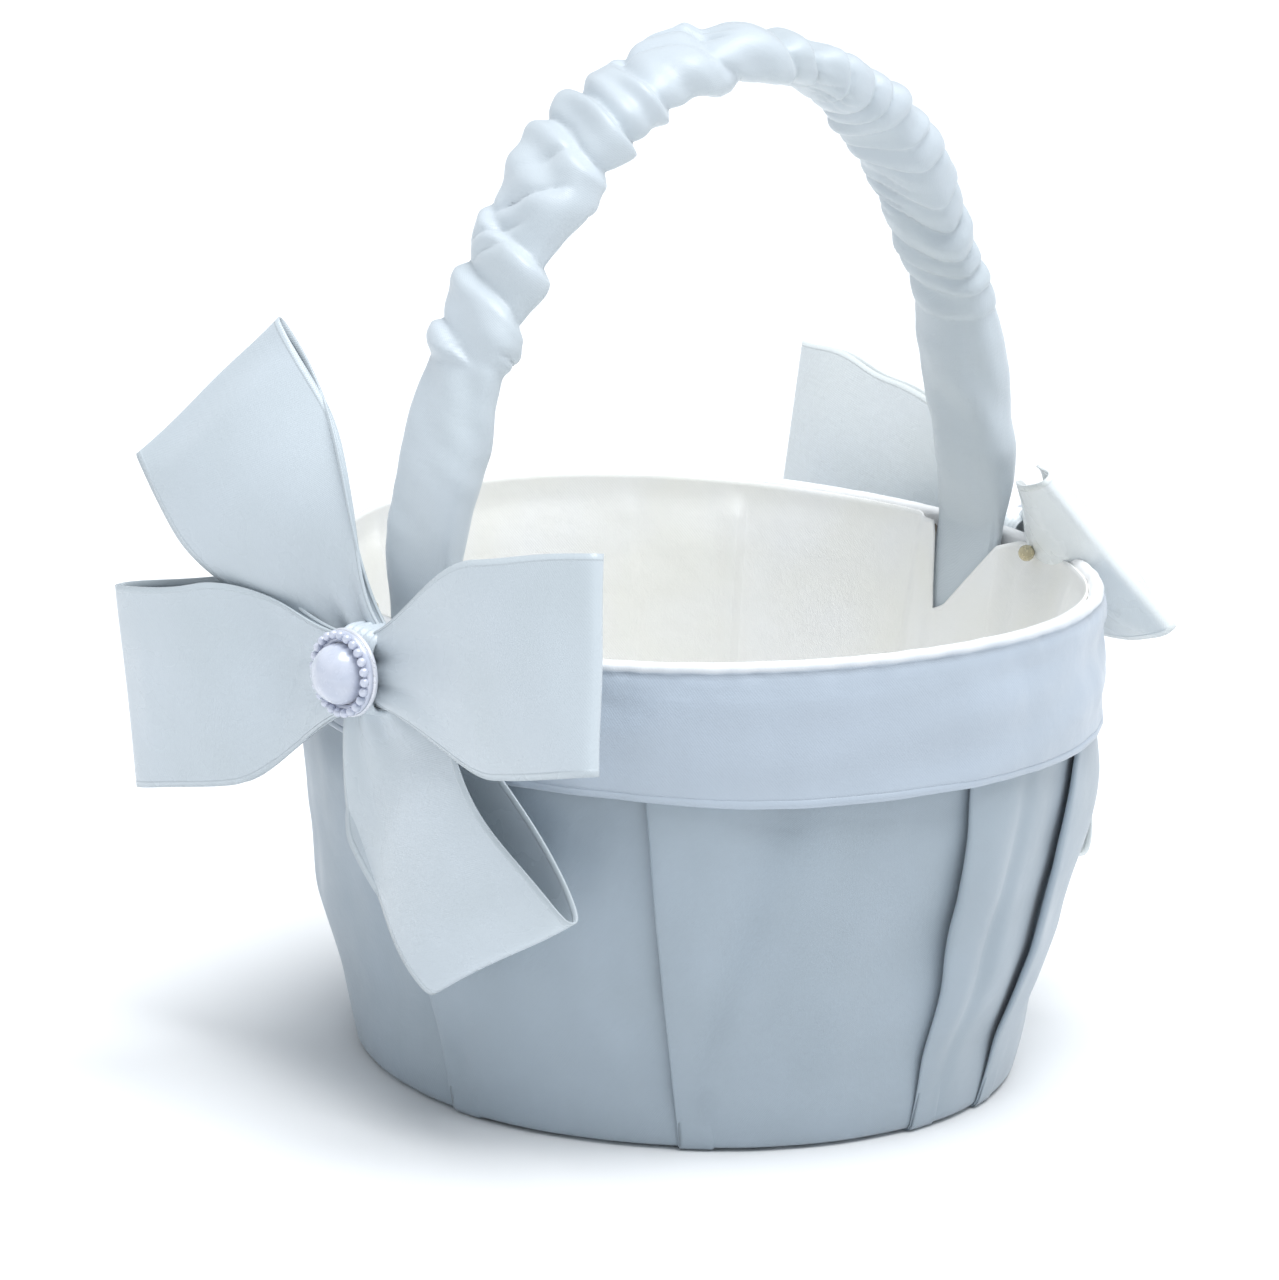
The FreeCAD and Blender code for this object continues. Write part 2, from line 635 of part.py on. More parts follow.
def build_brooch(name, side):
    """Plate, beaded bezel and domed pearl, modelled about Z and turned to face outwards."""
    front = f"({BOW_STANDOFF} + 2 * gather_depth + 2 * layer_gap + knot_cloth)"
    plate = turned(f"{name}_brooch_plate", [
        ("0", "0"), ("brooch_radius", "0"), ("brooch_radius", "brooch_plate"),
        ("0", "brooch_plate")])
    bezel = new_body(f"{name}_brooch_bezel")
    ring = revolve(bezel, f"{name}_bezel_ring", [
        ("brooch_radius - bezel_wall", "brooch_plate"),
        ("brooch_radius", "brooch_plate"),
        ("brooch_radius", "brooch_plate + bezel_height"),
        ("brooch_radius - bezel_wall", "brooch_plate + bezel_height")])
    bead = bezel.newObject("PartDesign::AdditiveSphere", f"{name}_bead")
    bead.setExpression("Radius", bound("bead_radius"))
    bead.setExpression("AttachmentOffset.Base.x", bound("brooch_radius - bezel_wall / 2"))
    bead.setExpression("AttachmentOffset.Base.z", bound("brooch_plate + bezel_height"))
    bead.AttachmentSupport = [(plane(bezel, "XY_Plane"), "")]
    bead.MapMode = "FlatFace"
    doc.recompute()
    pattern = bezel.newObject("PartDesign::PolarPattern", f"{name}_beads")
    pattern.Originals = [bead]
    pattern.Axis = (ring.Profile[0], ["V_Axis"])
    pattern.Angle = 360
    pattern.setExpression("Occurrences", bound("bead_count"))
    bezel.Tip = pattern
    foot = "brooch_plate + bezel_height"
    dome = [(f"pearl_radius * cos({angle})", f"{foot} + (pearl_height - bezel_height) * sin({angle})")
            for angle in range(0, 90, 15)]
    pearl = turned(f"{name}_brooch_pearl", [
        ("0", "brooch_plate"), ("pearl_radius", "brooch_plate"), *dome,
        ("0", "brooch_plate + pearl_height")])
    for body in (plate, bezel, pearl):
        body.Placement = Placement(Vector(0, 0, 0), Rotation(Vector(0, 1, 0), 90 * side))
        body.setExpression("Placement.Base.x", f"{side} * {bound(front)}")
        body.setExpression("Placement.Base.z", bound("rim_height - bow_drop"))


def write_parts():
    """Checks every object and writes one STEP file for each node."""
    doc.recompute()
    for item in doc.Objects:
        if any(flag in item.State for flag in ("Invalid", "Error")):
            raise RuntimeError(f"{item.Label} failed: {item.State}")
    os.makedirs("parts", exist_ok=True)
    for node in NODES:
        shape = node.Shape
        if shape.isNull() or not shape.isValid() or not shape.Solids:
            raise RuntimeError(f"{node.Label} has no valid solid")
        shape.exportStep(f"parts/{node.Label}.step")
        box = shape.BoundBox
        print(f"{node.Label:28s} solids {len(shape.Solids)} volume {shape.Volume:9.1f}"
              f" x {box.XMin:7.2f} {box.XMax:7.2f} y {box.YMin:7.2f} {box.YMax:7.2f}"
              f" z {box.ZMin:7.2f} {box.ZMax:7.2f}")


build_card()
build_cloth()
build_handle()
build_glue()
build_bow("bow_left", -1, LEFT_LOOPS)
build_bow("bow_right", 1, RIGHT_LOOPS)
write_parts()
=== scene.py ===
import math

import bpy
import numpy as np
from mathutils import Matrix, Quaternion, Vector


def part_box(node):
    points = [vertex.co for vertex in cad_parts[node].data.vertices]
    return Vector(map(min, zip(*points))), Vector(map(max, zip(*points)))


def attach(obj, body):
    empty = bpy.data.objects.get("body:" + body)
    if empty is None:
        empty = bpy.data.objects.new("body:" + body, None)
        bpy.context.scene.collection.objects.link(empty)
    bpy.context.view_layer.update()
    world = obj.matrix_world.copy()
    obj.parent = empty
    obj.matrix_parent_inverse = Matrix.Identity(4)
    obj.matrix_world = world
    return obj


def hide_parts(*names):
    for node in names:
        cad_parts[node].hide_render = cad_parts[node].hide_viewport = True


bl_info = {
    "name": "Flower Girl Basket",
    "version": (1, 0, 0),
    "blender": (4, 5, 0),
    "location": "3D View > Sidebar > Basket",
    "description": "Dresses a round basket in pleated satin, with a ruched handle and satin bows",
    "category": "Add Mesh",
}

MM = 0.001
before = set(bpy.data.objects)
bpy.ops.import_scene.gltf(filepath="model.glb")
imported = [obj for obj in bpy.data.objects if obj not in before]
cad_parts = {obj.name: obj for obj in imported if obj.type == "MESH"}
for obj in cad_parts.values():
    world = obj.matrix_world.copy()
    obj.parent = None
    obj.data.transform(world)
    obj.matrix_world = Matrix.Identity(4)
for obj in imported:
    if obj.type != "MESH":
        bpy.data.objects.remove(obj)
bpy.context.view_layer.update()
CUFF_LOW, CUFF_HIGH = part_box("cuff_band")
STRIP_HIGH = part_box("handle_core")[1]
SLEEVE_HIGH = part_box("handle_sleeve")[1]
RIM = CUFF_HIGH.z
STRIP_HALF = 0.75 * MM
FOOT_LENGTH = 22 * MM
RIBBON_CLOTH = 0.4 * MM
BEAD_COUNT = 24
HEM_RADIUS_MM = 62
RIBBON_ROWS, RIBBON_LANES = 150, 33
SIDES = {"left": -1, "right": 1}


# ---------------------------------------------------------------- numbers and meshes

def coordinates(mesh):
    """The points of a mesh, one row each, in metres."""
    points = np.zeros(len(mesh.vertices) * 3)
    mesh.vertices.foreach_get("co", points)
    return points.reshape(-1, 3)


def turned_profile(node, inside=False):
    """Heights and radii of a turned CAD node: its largest radius at each height that has
    vertices, or its smallest with inside."""
    points = coordinates(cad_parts[node].data)
    radius = np.hypot(points[:, 0], points[:, 1])
    height = np.round(points[:, 2], 5)
    heights = np.unique(height)
    pick = np.min if inside else np.max
    return heights, np.array([pick(radius[height == level]) for level in heights])


def smooth_through(x, xs, ys):
    """A curve through the points (xs, ys): cubic between them, with each slope the mean of the
    slopes on its two sides."""
    slope = np.gradient(ys, xs)
    at = np.clip(np.searchsorted(xs, x) - 1, 0, len(xs) - 2)
    width = xs[at + 1] - xs[at]
    t = np.clip((x - xs[at]) / width, 0, 1)
    return ((2 * t ** 3 - 3 * t ** 2 + 1) * ys[at] + (t ** 3 - 2 * t ** 2 + t) * width * slope[at]
            + (3 * t ** 2 - 2 * t ** 3) * ys[at + 1] + (t ** 3 - t ** 2) * width * slope[at + 1])


def ease(x, start, end):
    """0 before start, 1 after end, and a smooth S between them."""
    t = np.clip((x - start) / (end - start), 0, 1)
    return t * t * (3 - 2 * t)


def bump(x, middle, width):
    """A bell curve of height 1."""
    return np.exp(-((x - middle) / width) ** 2)


def blunt(wave, power):
    """A wave with its size raised to a power below 1 and its sign kept, which squares it off."""
    return np.sign(wave) * np.abs(wave) ** power


def uneven(points, seed, shortest, longest, count=12, stretch=(1, 1, 1)):
    """Unevenness of cloth, about -1 to 1: the sum of count plane waves through space, with
    seeded directions, phases and wavelengths between the two lengths."""
    rng = np.random.default_rng(seed)
    total = np.zeros(points.shape[:-1])
    for _ in range(count):
        way = rng.normal(size=3)
        way *= np.array(stretch) / np.linalg.norm(way)
        wavelength = rng.uniform(shortest, longest)
        phase = rng.uniform(0, 2 * math.pi)
        total += np.cos(2 * math.pi * (points @ way) / wavelength + phase)
    return total / math.sqrt(count)


def unit(vectors):
    """Vectors at length 1."""
    return vectors / np.linalg.norm(vectors, axis=-1, keepdims=True)


def whole_turn(count):
    """Angles evenly round a circle, as one row."""
    return np.linspace(0, 2 * math.pi, count, endpoint=False)[None, :]


def round_about(angle, radius, height):
    """Points at an angle round the basket, a radius and a height."""
    return np.stack(np.broadcast_arrays(radius * np.cos(angle), radius * np.sin(angle), height),
                    axis=-1)


def run_of(line):
    """The length run along a line of points, at each of them."""
    return np.concatenate([[0], np.cumsum(np.linalg.norm(np.diff(line, axis=0), axis=1))])


def cloth_lengths(points):
    """Where each point lies on the cloth before it was folded: the length run along its row
    and along its column, in metres."""
    across = np.linalg.norm(np.diff(points, axis=1), axis=-1)
    along = np.linalg.norm(np.diff(points, axis=0), axis=-1)
    u = np.concatenate([np.zeros((len(points), 1)), np.cumsum(across, axis=1)], axis=1)
    v = np.concatenate([np.zeros((1, points.shape[1])), np.cumsum(along, axis=0)], axis=0)
    middle = u.mean(axis=0)
    return np.stack([np.broadcast_to(middle, u.shape), v], axis=-1)


def surface(name, points, ring=False, caps=False, cloth=None):
    """A mesh on a grid of points, rows by columns.  With ring the last column joins the first;
    with caps each end row is closed by a fan to its middle.  The UV map "cloth" is in metres."""
    points = np.asarray(points, float)
    rows, columns = points.shape[:2]
    looped = np.concatenate([points, points[:, :1]], axis=1) if ring else points
    cloth = cloth_lengths(looped) if cloth is None else cloth
    index = np.arange(rows * columns).reshape(rows, columns)
    if ring:
        index = np.concatenate([index, index[:, :1]], axis=1)
    corners = (np.s_[:-1, :-1], np.s_[:-1, 1:], np.s_[1:, 1:], np.s_[1:, :-1])
    faces = np.stack([index[corner] for corner in corners], axis=-1).reshape(-1, 4).tolist()
    uv = np.stack([cloth[corner] for corner in corners], axis=-2).reshape(-1, 2)
    flat = points.reshape(-1, 3)
    if caps:
        for end, turned in ((0, True), (-1, False)):
            middle = len(flat)
            flat = np.concatenate([flat, points[end].mean(axis=0, keepdims=True)])
            row = index[end][::-1] if turned else index[end]
            fan = np.stack([row[:-1], row[1:], np.full(len(row) - 1, middle)], axis=-1)
            faces += fan.tolist()
            uv = np.concatenate([uv, np.zeros((3 * len(fan), 2))])
    mesh = bpy.data.meshes.new(name)
    mesh.from_pydata(flat, [], faces)
    layer = mesh.uv_layers.new(name="cloth")
    layer.data.foreach_set("uv", uv.astype(np.float32).ravel())
    mesh.polygons.foreach_set("use_smooth", np.ones(len(mesh.polygons), bool))
    mesh.update()
    piece = bpy.data.objects.new(name, mesh)
    bpy.context.scene.collection.objects.link(piece)
    return piece


def face_out(piece):
    """Turns every face round if the closed mesh holds a negative volume: a sixth of the sum,
    over its triangles, of corner a times the cross product of corners b and c."""
    mesh = piece.data
    mesh.calc_loop_triangles()
    triangles = np.zeros(len(mesh.loop_triangles) * 3, int)
    mesh.loop_triangles.foreach_get("vertices", triangles)
    a, b, c = coordinates(mesh)[triangles.reshape(-1, 3)].transpose(1, 0, 2)
    if np.einsum("ij,ij->", a, np.cross(b, c)) < 0:
        mesh.flip_normals()
    return piece


def thicken(piece, thickness, side=0.0):
    """Gives a sheet its thickness: side 0 on both faces, -1 behind it and 1 in front."""
    solid = piece.modifiers.new("cloth", "SOLIDIFY")
    solid.thickness = thickness
    solid.offset = side
    return piece


def join_grids(name, grids):
    """One mesh of several closed grids, each given as points with caps."""
    pieces = [surface(f"{name}_{number}", grid, ring=True, caps=True)
              for number, grid in enumerate(grids)]
    for piece in pieces:
        face_out(piece)
    with bpy.context.temp_override(active_object=pieces[0], selected_editable_objects=pieces):
        bpy.ops.object.join()
    pieces[0].name = name
    pieces[0].data.name = name
    return pieces[0]


def finish_piece(piece, node, material):
    """Gives a piece its material, the CAD node it stands for and the body it rides."""
    piece.data.materials.clear()
    piece.data.materials.append(material)
    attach(piece, "root")
    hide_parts(node)
    return piece


# ---------------------------------------------------------------- materials

class Shading:
    """A material's nodes, with its Principled shader and output in place."""

    def __init__(self, name):
        self.material = bpy.data.materials.new(name)
        self.material.use_nodes = True
        self.tree = self.material.node_tree
        self.tree.nodes.clear()
        self.shader = self.add("ShaderNodeBsdfPrincipled")
        output = self.add("ShaderNodeOutputMaterial")
        self.link(self.shader.outputs["BSDF"], output.inputs["Surface"])

    def add(self, kind, **settings):
        node = self.tree.nodes.new(kind)
        for key, value in settings.items():
            setattr(node, key, value)
        return node

    def link(self, start, end):
        self.tree.links.new(start, end)

    def place(self):
        return self.add("ShaderNodeTexCoord").outputs["Object"]

    def cloth(self):
        return self.add("ShaderNodeUVMap", uv_map="cloth").outputs["UV"]

    def noise(self, where, scale, detail=3.0, stretch=(1, 1, 1), turn=0.0):
        """Noise with scale cells to the metre."""
        mapping = self.add("ShaderNodeMapping")
        mapping.inputs["Scale"].default_value = stretch
        mapping.inputs["Rotation"].default_value = (0, 0, turn)
        node = self.add("ShaderNodeTexNoise")
        node.inputs["Scale"].default_value = scale
        node.inputs["Detail"].default_value = detail
        self.link(where, mapping.inputs["Vector"])
        self.link(mapping.outputs["Vector"], node.inputs["Vector"])
        return node.outputs["Fac"]

    def threads(self, pitch, turn):
        """Bands a pitch apart across the cloth, for the floating threads of satin."""
        mapping = self.add("ShaderNodeMapping")
        mapping.inputs["Rotation"].default_value = (0, 0, turn)
        wave = self.add("ShaderNodeTexWave", wave_type="BANDS", bands_direction="X")
        wave.inputs["Scale"].default_value = 1 / (pitch * 20 / (2 * math.pi))
        wave.inputs["Distortion"].default_value = 1.5
        wave.inputs["Detail"].default_value = 1.0
        wave.inputs["Detail Scale"].default_value = 0.4
        self.link(self.cloth(), mapping.inputs["Vector"])
        self.link(mapping.outputs["Vector"], wave.inputs["Vector"])
        return wave.outputs["Fac"]

    def remap(self, value, *ends):
        """value as a new range; ends is the old range's two ends, then the new one's."""
        node = self.add("ShaderNodeMapRange")
        for word, end in zip(("From Min", "From Max", "To Min", "To Max"), ends):
            node.inputs[word].default_value = end
        self.link(value, node.inputs["Value"])
        return node.outputs["Result"]

    def selvedge(self, width):
        """1 on the woven edges of a ribbon of that width, whose "cloth" map runs across it from
        minus to plus half the width, and 0 between them."""
        parts = self.add("ShaderNodeSeparateXYZ")
        self.link(self.cloth(), parts.inputs["Vector"])
        off = self.add("ShaderNodeMath", operation="ABSOLUTE")
        self.link(parts.outputs["Y"], off.inputs[0])
        inner, outer = width / 2 - 1.3 * MM, width / 2 - 1.0 * MM
        return self.remap(off.outputs["Value"], inner, outer, 0, 1)

    def up_to(self, run):
        """1 where the "cloth" map is less than run along the cloth, falling to 0 in 1.5 mm."""
        parts = self.add("ShaderNodeSeparateXYZ")
        self.link(self.cloth(), parts.inputs["Vector"])
        return self.remap(parts.outputs["Y"], run, run + 1.5 * MM, 1, 0)

    def ramp(self, value, low, high):
        """value from 0.3 to 0.7 as a range from low to high."""
        return self.remap(value, 0.3, 0.7, low, high)

    def blend(self, value, first, second):
        """A colour between two, by value; either may be a colour or an output."""
        node = self.add("ShaderNodeMix", data_type="RGBA")
        sockets = [item for item in node.inputs if item.type == "RGBA"]
        self.link(value, node.inputs["Factor"])
        for socket, colour in zip(sockets, (first, second)):
            if isinstance(colour, bpy.types.NodeSocket):
                self.link(colour, socket)
            else:
                socket.default_value = (*colour[:3], 1)
        return next(item for item in node.outputs if item.type == "RGBA")

    def relief(self, *layers):
        """Bumps on the surface, each a pair of height output and depth in metres."""
        below = None
        for height, depth in layers:
            node = self.add("ShaderNodeBump")
            node.inputs["Distance"].default_value = depth
            self.link(height, node.inputs["Height"])
            if below is not None:
                self.link(below, node.inputs["Normal"])
            below = node.outputs["Normal"]
        self.link(below, self.shader.inputs["Normal"])

    def set(self, **values):
        """Plain numbers on the shader's own sockets; a word's underscores are spaces."""
        for word, value in values.items():
            self.shader.inputs[word.replace("_", " ")].default_value = value


def satin(name, colour, shade, gloss=0.40, creases=0.25 * MM, edges=None, trim=None):
    """Satin: fine floating threads in two directions, faint creases, a slow drift of colour and
    of gloss, and a soft sheen.  edges is a ribbon's width, which gives it two woven edges.
    trim is how far along the cloth a paler edge is painted, and its colour: a painted lit band."""
    made = Shading(name)
    cloth = made.cloth()
    drift = made.noise(made.place(), 45, 2)
    base = made.blend(made.ramp(drift, 0, 1), colour, shade)
    weft = made.threads(0.42 * MM, math.radians(38))
    warp = made.threads(0.3 * MM, math.radians(-52))
    slubs = made.noise(cloth, 900, 2, (0.16, 1, 1), 0.15)
    layers = [(made.noise(made.place(), 150, 3), creases),
              (slubs, 0.03 * MM), (weft, 0.012 * MM), (warp, 0.010 * MM)]
    if edges:
        line = made.selvedge(edges)
        layers.append((line, 0.12 * MM))
        base = made.blend(line, base, shade)
    if trim:
        # The trim is painted light: a paler band at the start of the cloth.
        base = made.blend(made.up_to(trim[0]), base, trim[1])
    made.link(base, made.shader.inputs["Base Color"])
    made.link(made.ramp(made.noise(cloth, 120, 2), gloss - 0.05, gloss + 0.07),
              made.shader.inputs["Roughness"])
    made.relief(*layers)
    made.set(Specular_IOR_Level=0.5, Sheen_Weight=0.22, Sheen_Roughness=0.45,
             Anisotropic=0.35)
    return made.material


def plain(name, colour, shade, scale, depth, roughness, **values):
    """A mottled solid: colour drifting to shade with noise of a scale, and a fine relief."""
    made = Shading(name)
    grain = made.noise(made.place(), scale, 5)
    made.link(made.blend(made.ramp(grain, 0, 1), colour, shade), made.shader.inputs["Base Color"])
    made.link(made.ramp(made.noise(made.place(), scale * 3, 3), roughness - 0.06, roughness + 0.06),
              made.shader.inputs["Roughness"])
    made.relief((made.noise(made.place(), scale * 6, 4), depth))
    made.set(**values)
    return made.material


# ---------------------------------------------------------------- settings

def length(name, description, default, least=0.0):
    return bpy.props.FloatProperty(name=name, description=description, default=default,
                                   min=least, subtype="DISTANCE", unit="LENGTH")


def colour(name, description, default):
    return bpy.props.FloatVectorProperty(name=name, description=description, default=default,
                                         size=3, min=0, max=1, subtype="COLOR")


class BasketSizes(bpy.types.PropertyGroup):
    """Sizes of the soft pieces that the frame doesn't give."""
    cloth: length("Cloth", "Thickness of the satin", 0.45 * MM)
    pleat_lap: length("Pleat lap", "Cloth hidden behind each pleat's fold", 6.0 * MM)
    pleat_stand: length("Pleat stand", "How far a pleat's fold stands off the next panel", 2.4 * MM)
    rim_sway: length("Rim sway", "How far the rim rises and dips round the basket", 1.6 * MM)
    crown_inset: length("Crown inset", "Half the handle's span less the radius of its top arc",
                        12.9 * MM)
    ruche_depth: length("Ruche depth", "Depth of the gathers on the handle", 2.3 * MM)
    ribbon_width: length("Ribbon width", "Width of the bows' ribbon", 39.0 * MM)
    pearl_bead: length("Bead", "Diameter of a bead in the brooch's ring", 1.9 * MM)


class BasketColours(bpy.types.PropertyGroup):
    """Colours of the cloth and trim."""
    # satin, satin_shade, cuff and cuff_shade are painted shade: the cover's and cuff's white is
    # darkened and cooled to the shade it stands in, the cuff a little less; the cloth itself is white
    satin: colour("Satin", "Cool white of the cover", (0.365, 0.43, 0.49))
    satin_shade: colour("Satin shade", "The same where it drifts darker", (0.34, 0.40, 0.45))
    cuff: colour("Cuff", "Cool white of the cuff", (0.465, 0.53, 0.61))
    cuff_shade: colour("Cuff shade", "The same where it drifts darker", (0.44, 0.50, 0.57))
    # ribbon and ribbon_shade are painted shade: the left bow's and handle's white darkened and cooled.
    # far_ribbon and its shade are painted light: the same white made paler on the right bow
    ribbon: colour("Ribbon", "Ivory of the left bow and the handle", (0.60, 0.66, 0.71))
    ribbon_shade: colour("Ribbon shade", "The same where it drifts darker", (0.57, 0.63, 0.67))
    far_ribbon: colour("Far ribbon", "Paler ivory of the right bow", (0.84, 0.88, 0.90))
    far_ribbon_shade: colour("Far ribbon shade", "The same where it drifts darker", (0.80, 0.84, 0.84))
    lining: colour("Lining", "Cream of the lining", (0.95, 0.95, 0.95))
    lining_shade: colour("Lining shade", "The same where it drifts warmer", (0.94, 0.93, 0.88))
    pearl: colour("Pearl", "Lilac white of the pearls", (0.64, 0.67, 0.77))
    card: colour("Card", "Grey-brown card", (0.48, 0.42, 0.33))
    floor: colour("Floor", "Pale studio floor", (0.90, 0.90, 0.90))


def sizes():
    return bpy.context.scene.basket_sizes


def colours():
    return bpy.context.scene.basket_colours


def shared(name, make):
    """The basket's own material of that name, made the first time it is asked for.  Its name
    ends in _finish, because the frame's plain materials have the bare names."""
    word = f"{name}_finish"
    return bpy.data.materials.get(word) or make(word)


def satin_finish(name, hue, *settings, **more):
    """Satin in one of the basket's colours and its shade."""
    pair = [getattr(colours(), word) for word in (hue, f"{hue}_shade")]
    return shared(name, lambda word: satin(word, *pair, *settings, **more))


def rim_sway(angle):
    """The rim's height above the frame's: lower at the handle's feet, higher between them."""
    return -sizes().rim_sway * np.cos(2 * angle)


# ---------------------------------------------------------------- pleated cover

# Each pleat: the angle of its fold at the cuff and at the hem in degrees, how much deeper than
# usual it stands off, and the height and reach of the widest part of its opening.
PLEATS = (
    (28, 30, 1.0, 40, 30),
    (76, 72, 0.8, 45, 30),
    (124, 128, 1.1, 40, 30),
    (180, 185, 1.0, 30, 30),
    (220.3, 226.8, 0.9, 40, 40),
    (268.8, 269, 1.7, 44, 22),
    (297.5, 287, 1.3, 40, 30),
    (337, 341, 1.0, 40, 30),
)


def build_cover():
    """Knife pleats.  Going round, each panel starts at its fold, on top, and ends under the next
    panel; there the cloth turns back on itself to the next fold.  Along the way, u, the angle
    runs ahead past the next fold by the lap and comes back; the depth under the outer surface
    grows from nothing at the fold to the stand-off where the panel tucks under."""
    set_up = sizes()
    heights, radii = turned_profile("outer_cover")
    wall = np.interp(heights, *turned_profile("wall_board"))
    outside = (heights < CUFF_LOW.z) & (radii > wall + 0.6 * MM)
    heights, radii = heights[outside], radii[outside]
    top = CUFF_LOW.z + 8 * MM
    z = np.linspace(heights[0] + 1.2 * MM, top, 94)[:, None]
    outline = smooth_through(np.minimum(z, heights[-1]), heights, radii)
    outline = outline - 0.4 * MM * ease(z, heights[-1] - 2 * MM, top)
    share = (z - heights[0]) / (CUFF_LOW.z - heights[0])
    folds = [math.radians(low) + math.radians(high - low) * share
             for high, low, *_ in PLEATS]
    angles, depths = [], []
    count = len(PLEATS)
    for number in range(count):
        here = folds[number]
        after = folds[(number + 1) % count] + (2 * math.pi if number == count - 1 else 0)
        _, _, extra, height, reach = PLEATS[(number + 1) % count]
        stand = set_up.pleat_stand * (0.5 + 0.6 * extra * bump(z, height * MM, reach * MM))
        stand = stand * (0.34 + 0.66 * ease(z, 1 * MM, 16 * MM))
        lap = set_up.pleat_lap / outline
        under = after + lap
        u = np.linspace(0, 1, 44)[None, :]
        angles.append(here + (under - here) * u)
        depths.append(stand * ease(u, 0.02, 0.86) ** 1.6)
        turn = np.linspace(0, math.pi, 6)[None, 1:-1]
        quarter = stand / 4
        angles.append(under + quarter / outline * np.sin(turn))
        depths.append(stand - quarter * (1 - np.cos(turn)))
        back = np.linspace(0, 1, 8)[None, :]
        angles.append(under - lap * back)
        depths.append(np.broadcast_to(stand / 2, (len(z), back.shape[1])))
        angles.append(after - quarter / outline * np.sin(turn))
        depths.append(stand / 2 - quarter * (1 - np.cos(turn)))
    angle = np.concatenate(angles, axis=1)
    depth = np.concatenate([np.broadcast_to(part, (len(z), part.shape[1])) for part in depths],
                           axis=1)
    smooth_place = round_about(angle, outline, z)
    middle = ease(z, 4 * MM, 20 * MM) * (1 - ease(z, CUFF_LOW.z - 12 * MM, CUFF_LOW.z))
    give = 0.75 * MM * uneven(smooth_place, 5, 30 * MM, 75 * MM, 10)
    give = give + 0.28 * MM * uneven(smooth_place, 9, 9 * MM, 22 * MM, 14, (1, 1, 0.45))
    radius = outline - depth + (0.25 + 0.75 * middle) * give
    radius = radius - soft_crease(angle, z)
    points = round_about(angle, radius, z + 0 * angle)
    rows = [points]
    for pull, lift in ((0.5, 0.8), (2.2, 0.5)):
        keep = 1 - pull / HEM_RADIUS_MM
        rows.insert(0, points[:1] * np.array([keep, keep, 0]) + np.array([0, 0, lift * MM]))
    points = np.concatenate(rows)
    cover = thicken(surface("pleated_cover", points, ring=True), set_up.cloth, -1)
    # The cover's satin colours are painted shade.
    finish_piece(cover, "outer_cover", satin_finish("cover_satin", "satin"))
    return cover


def soft_crease(angle, z):
    """A shallow valley that fans from the cuff down to the front fold, one across the panel to
    its right and dents by the hem."""
    share = z / CUFF_LOW.z
    turn = np.degrees(angle)
    valley = bump(turn, 226.5 + 12.5 * share, 1.0 + 3.5 * share) * ease(share, 0.12, 0.5)
    right = bump(turn, 281 - 8 * (1 - share), 2.0) * bump(share, 0.55, 0.4)
    dent = bump(turn, 229.5, 2.0) * bump(z, 9 * MM, 4 * MM)
    left = bump(turn, 187.5, 2.5) * bump(z, 11 * MM, 5 * MM)
    return MM * (1.8 * valley + 1.2 * right + 1.0 * dent + 1.1 * left)


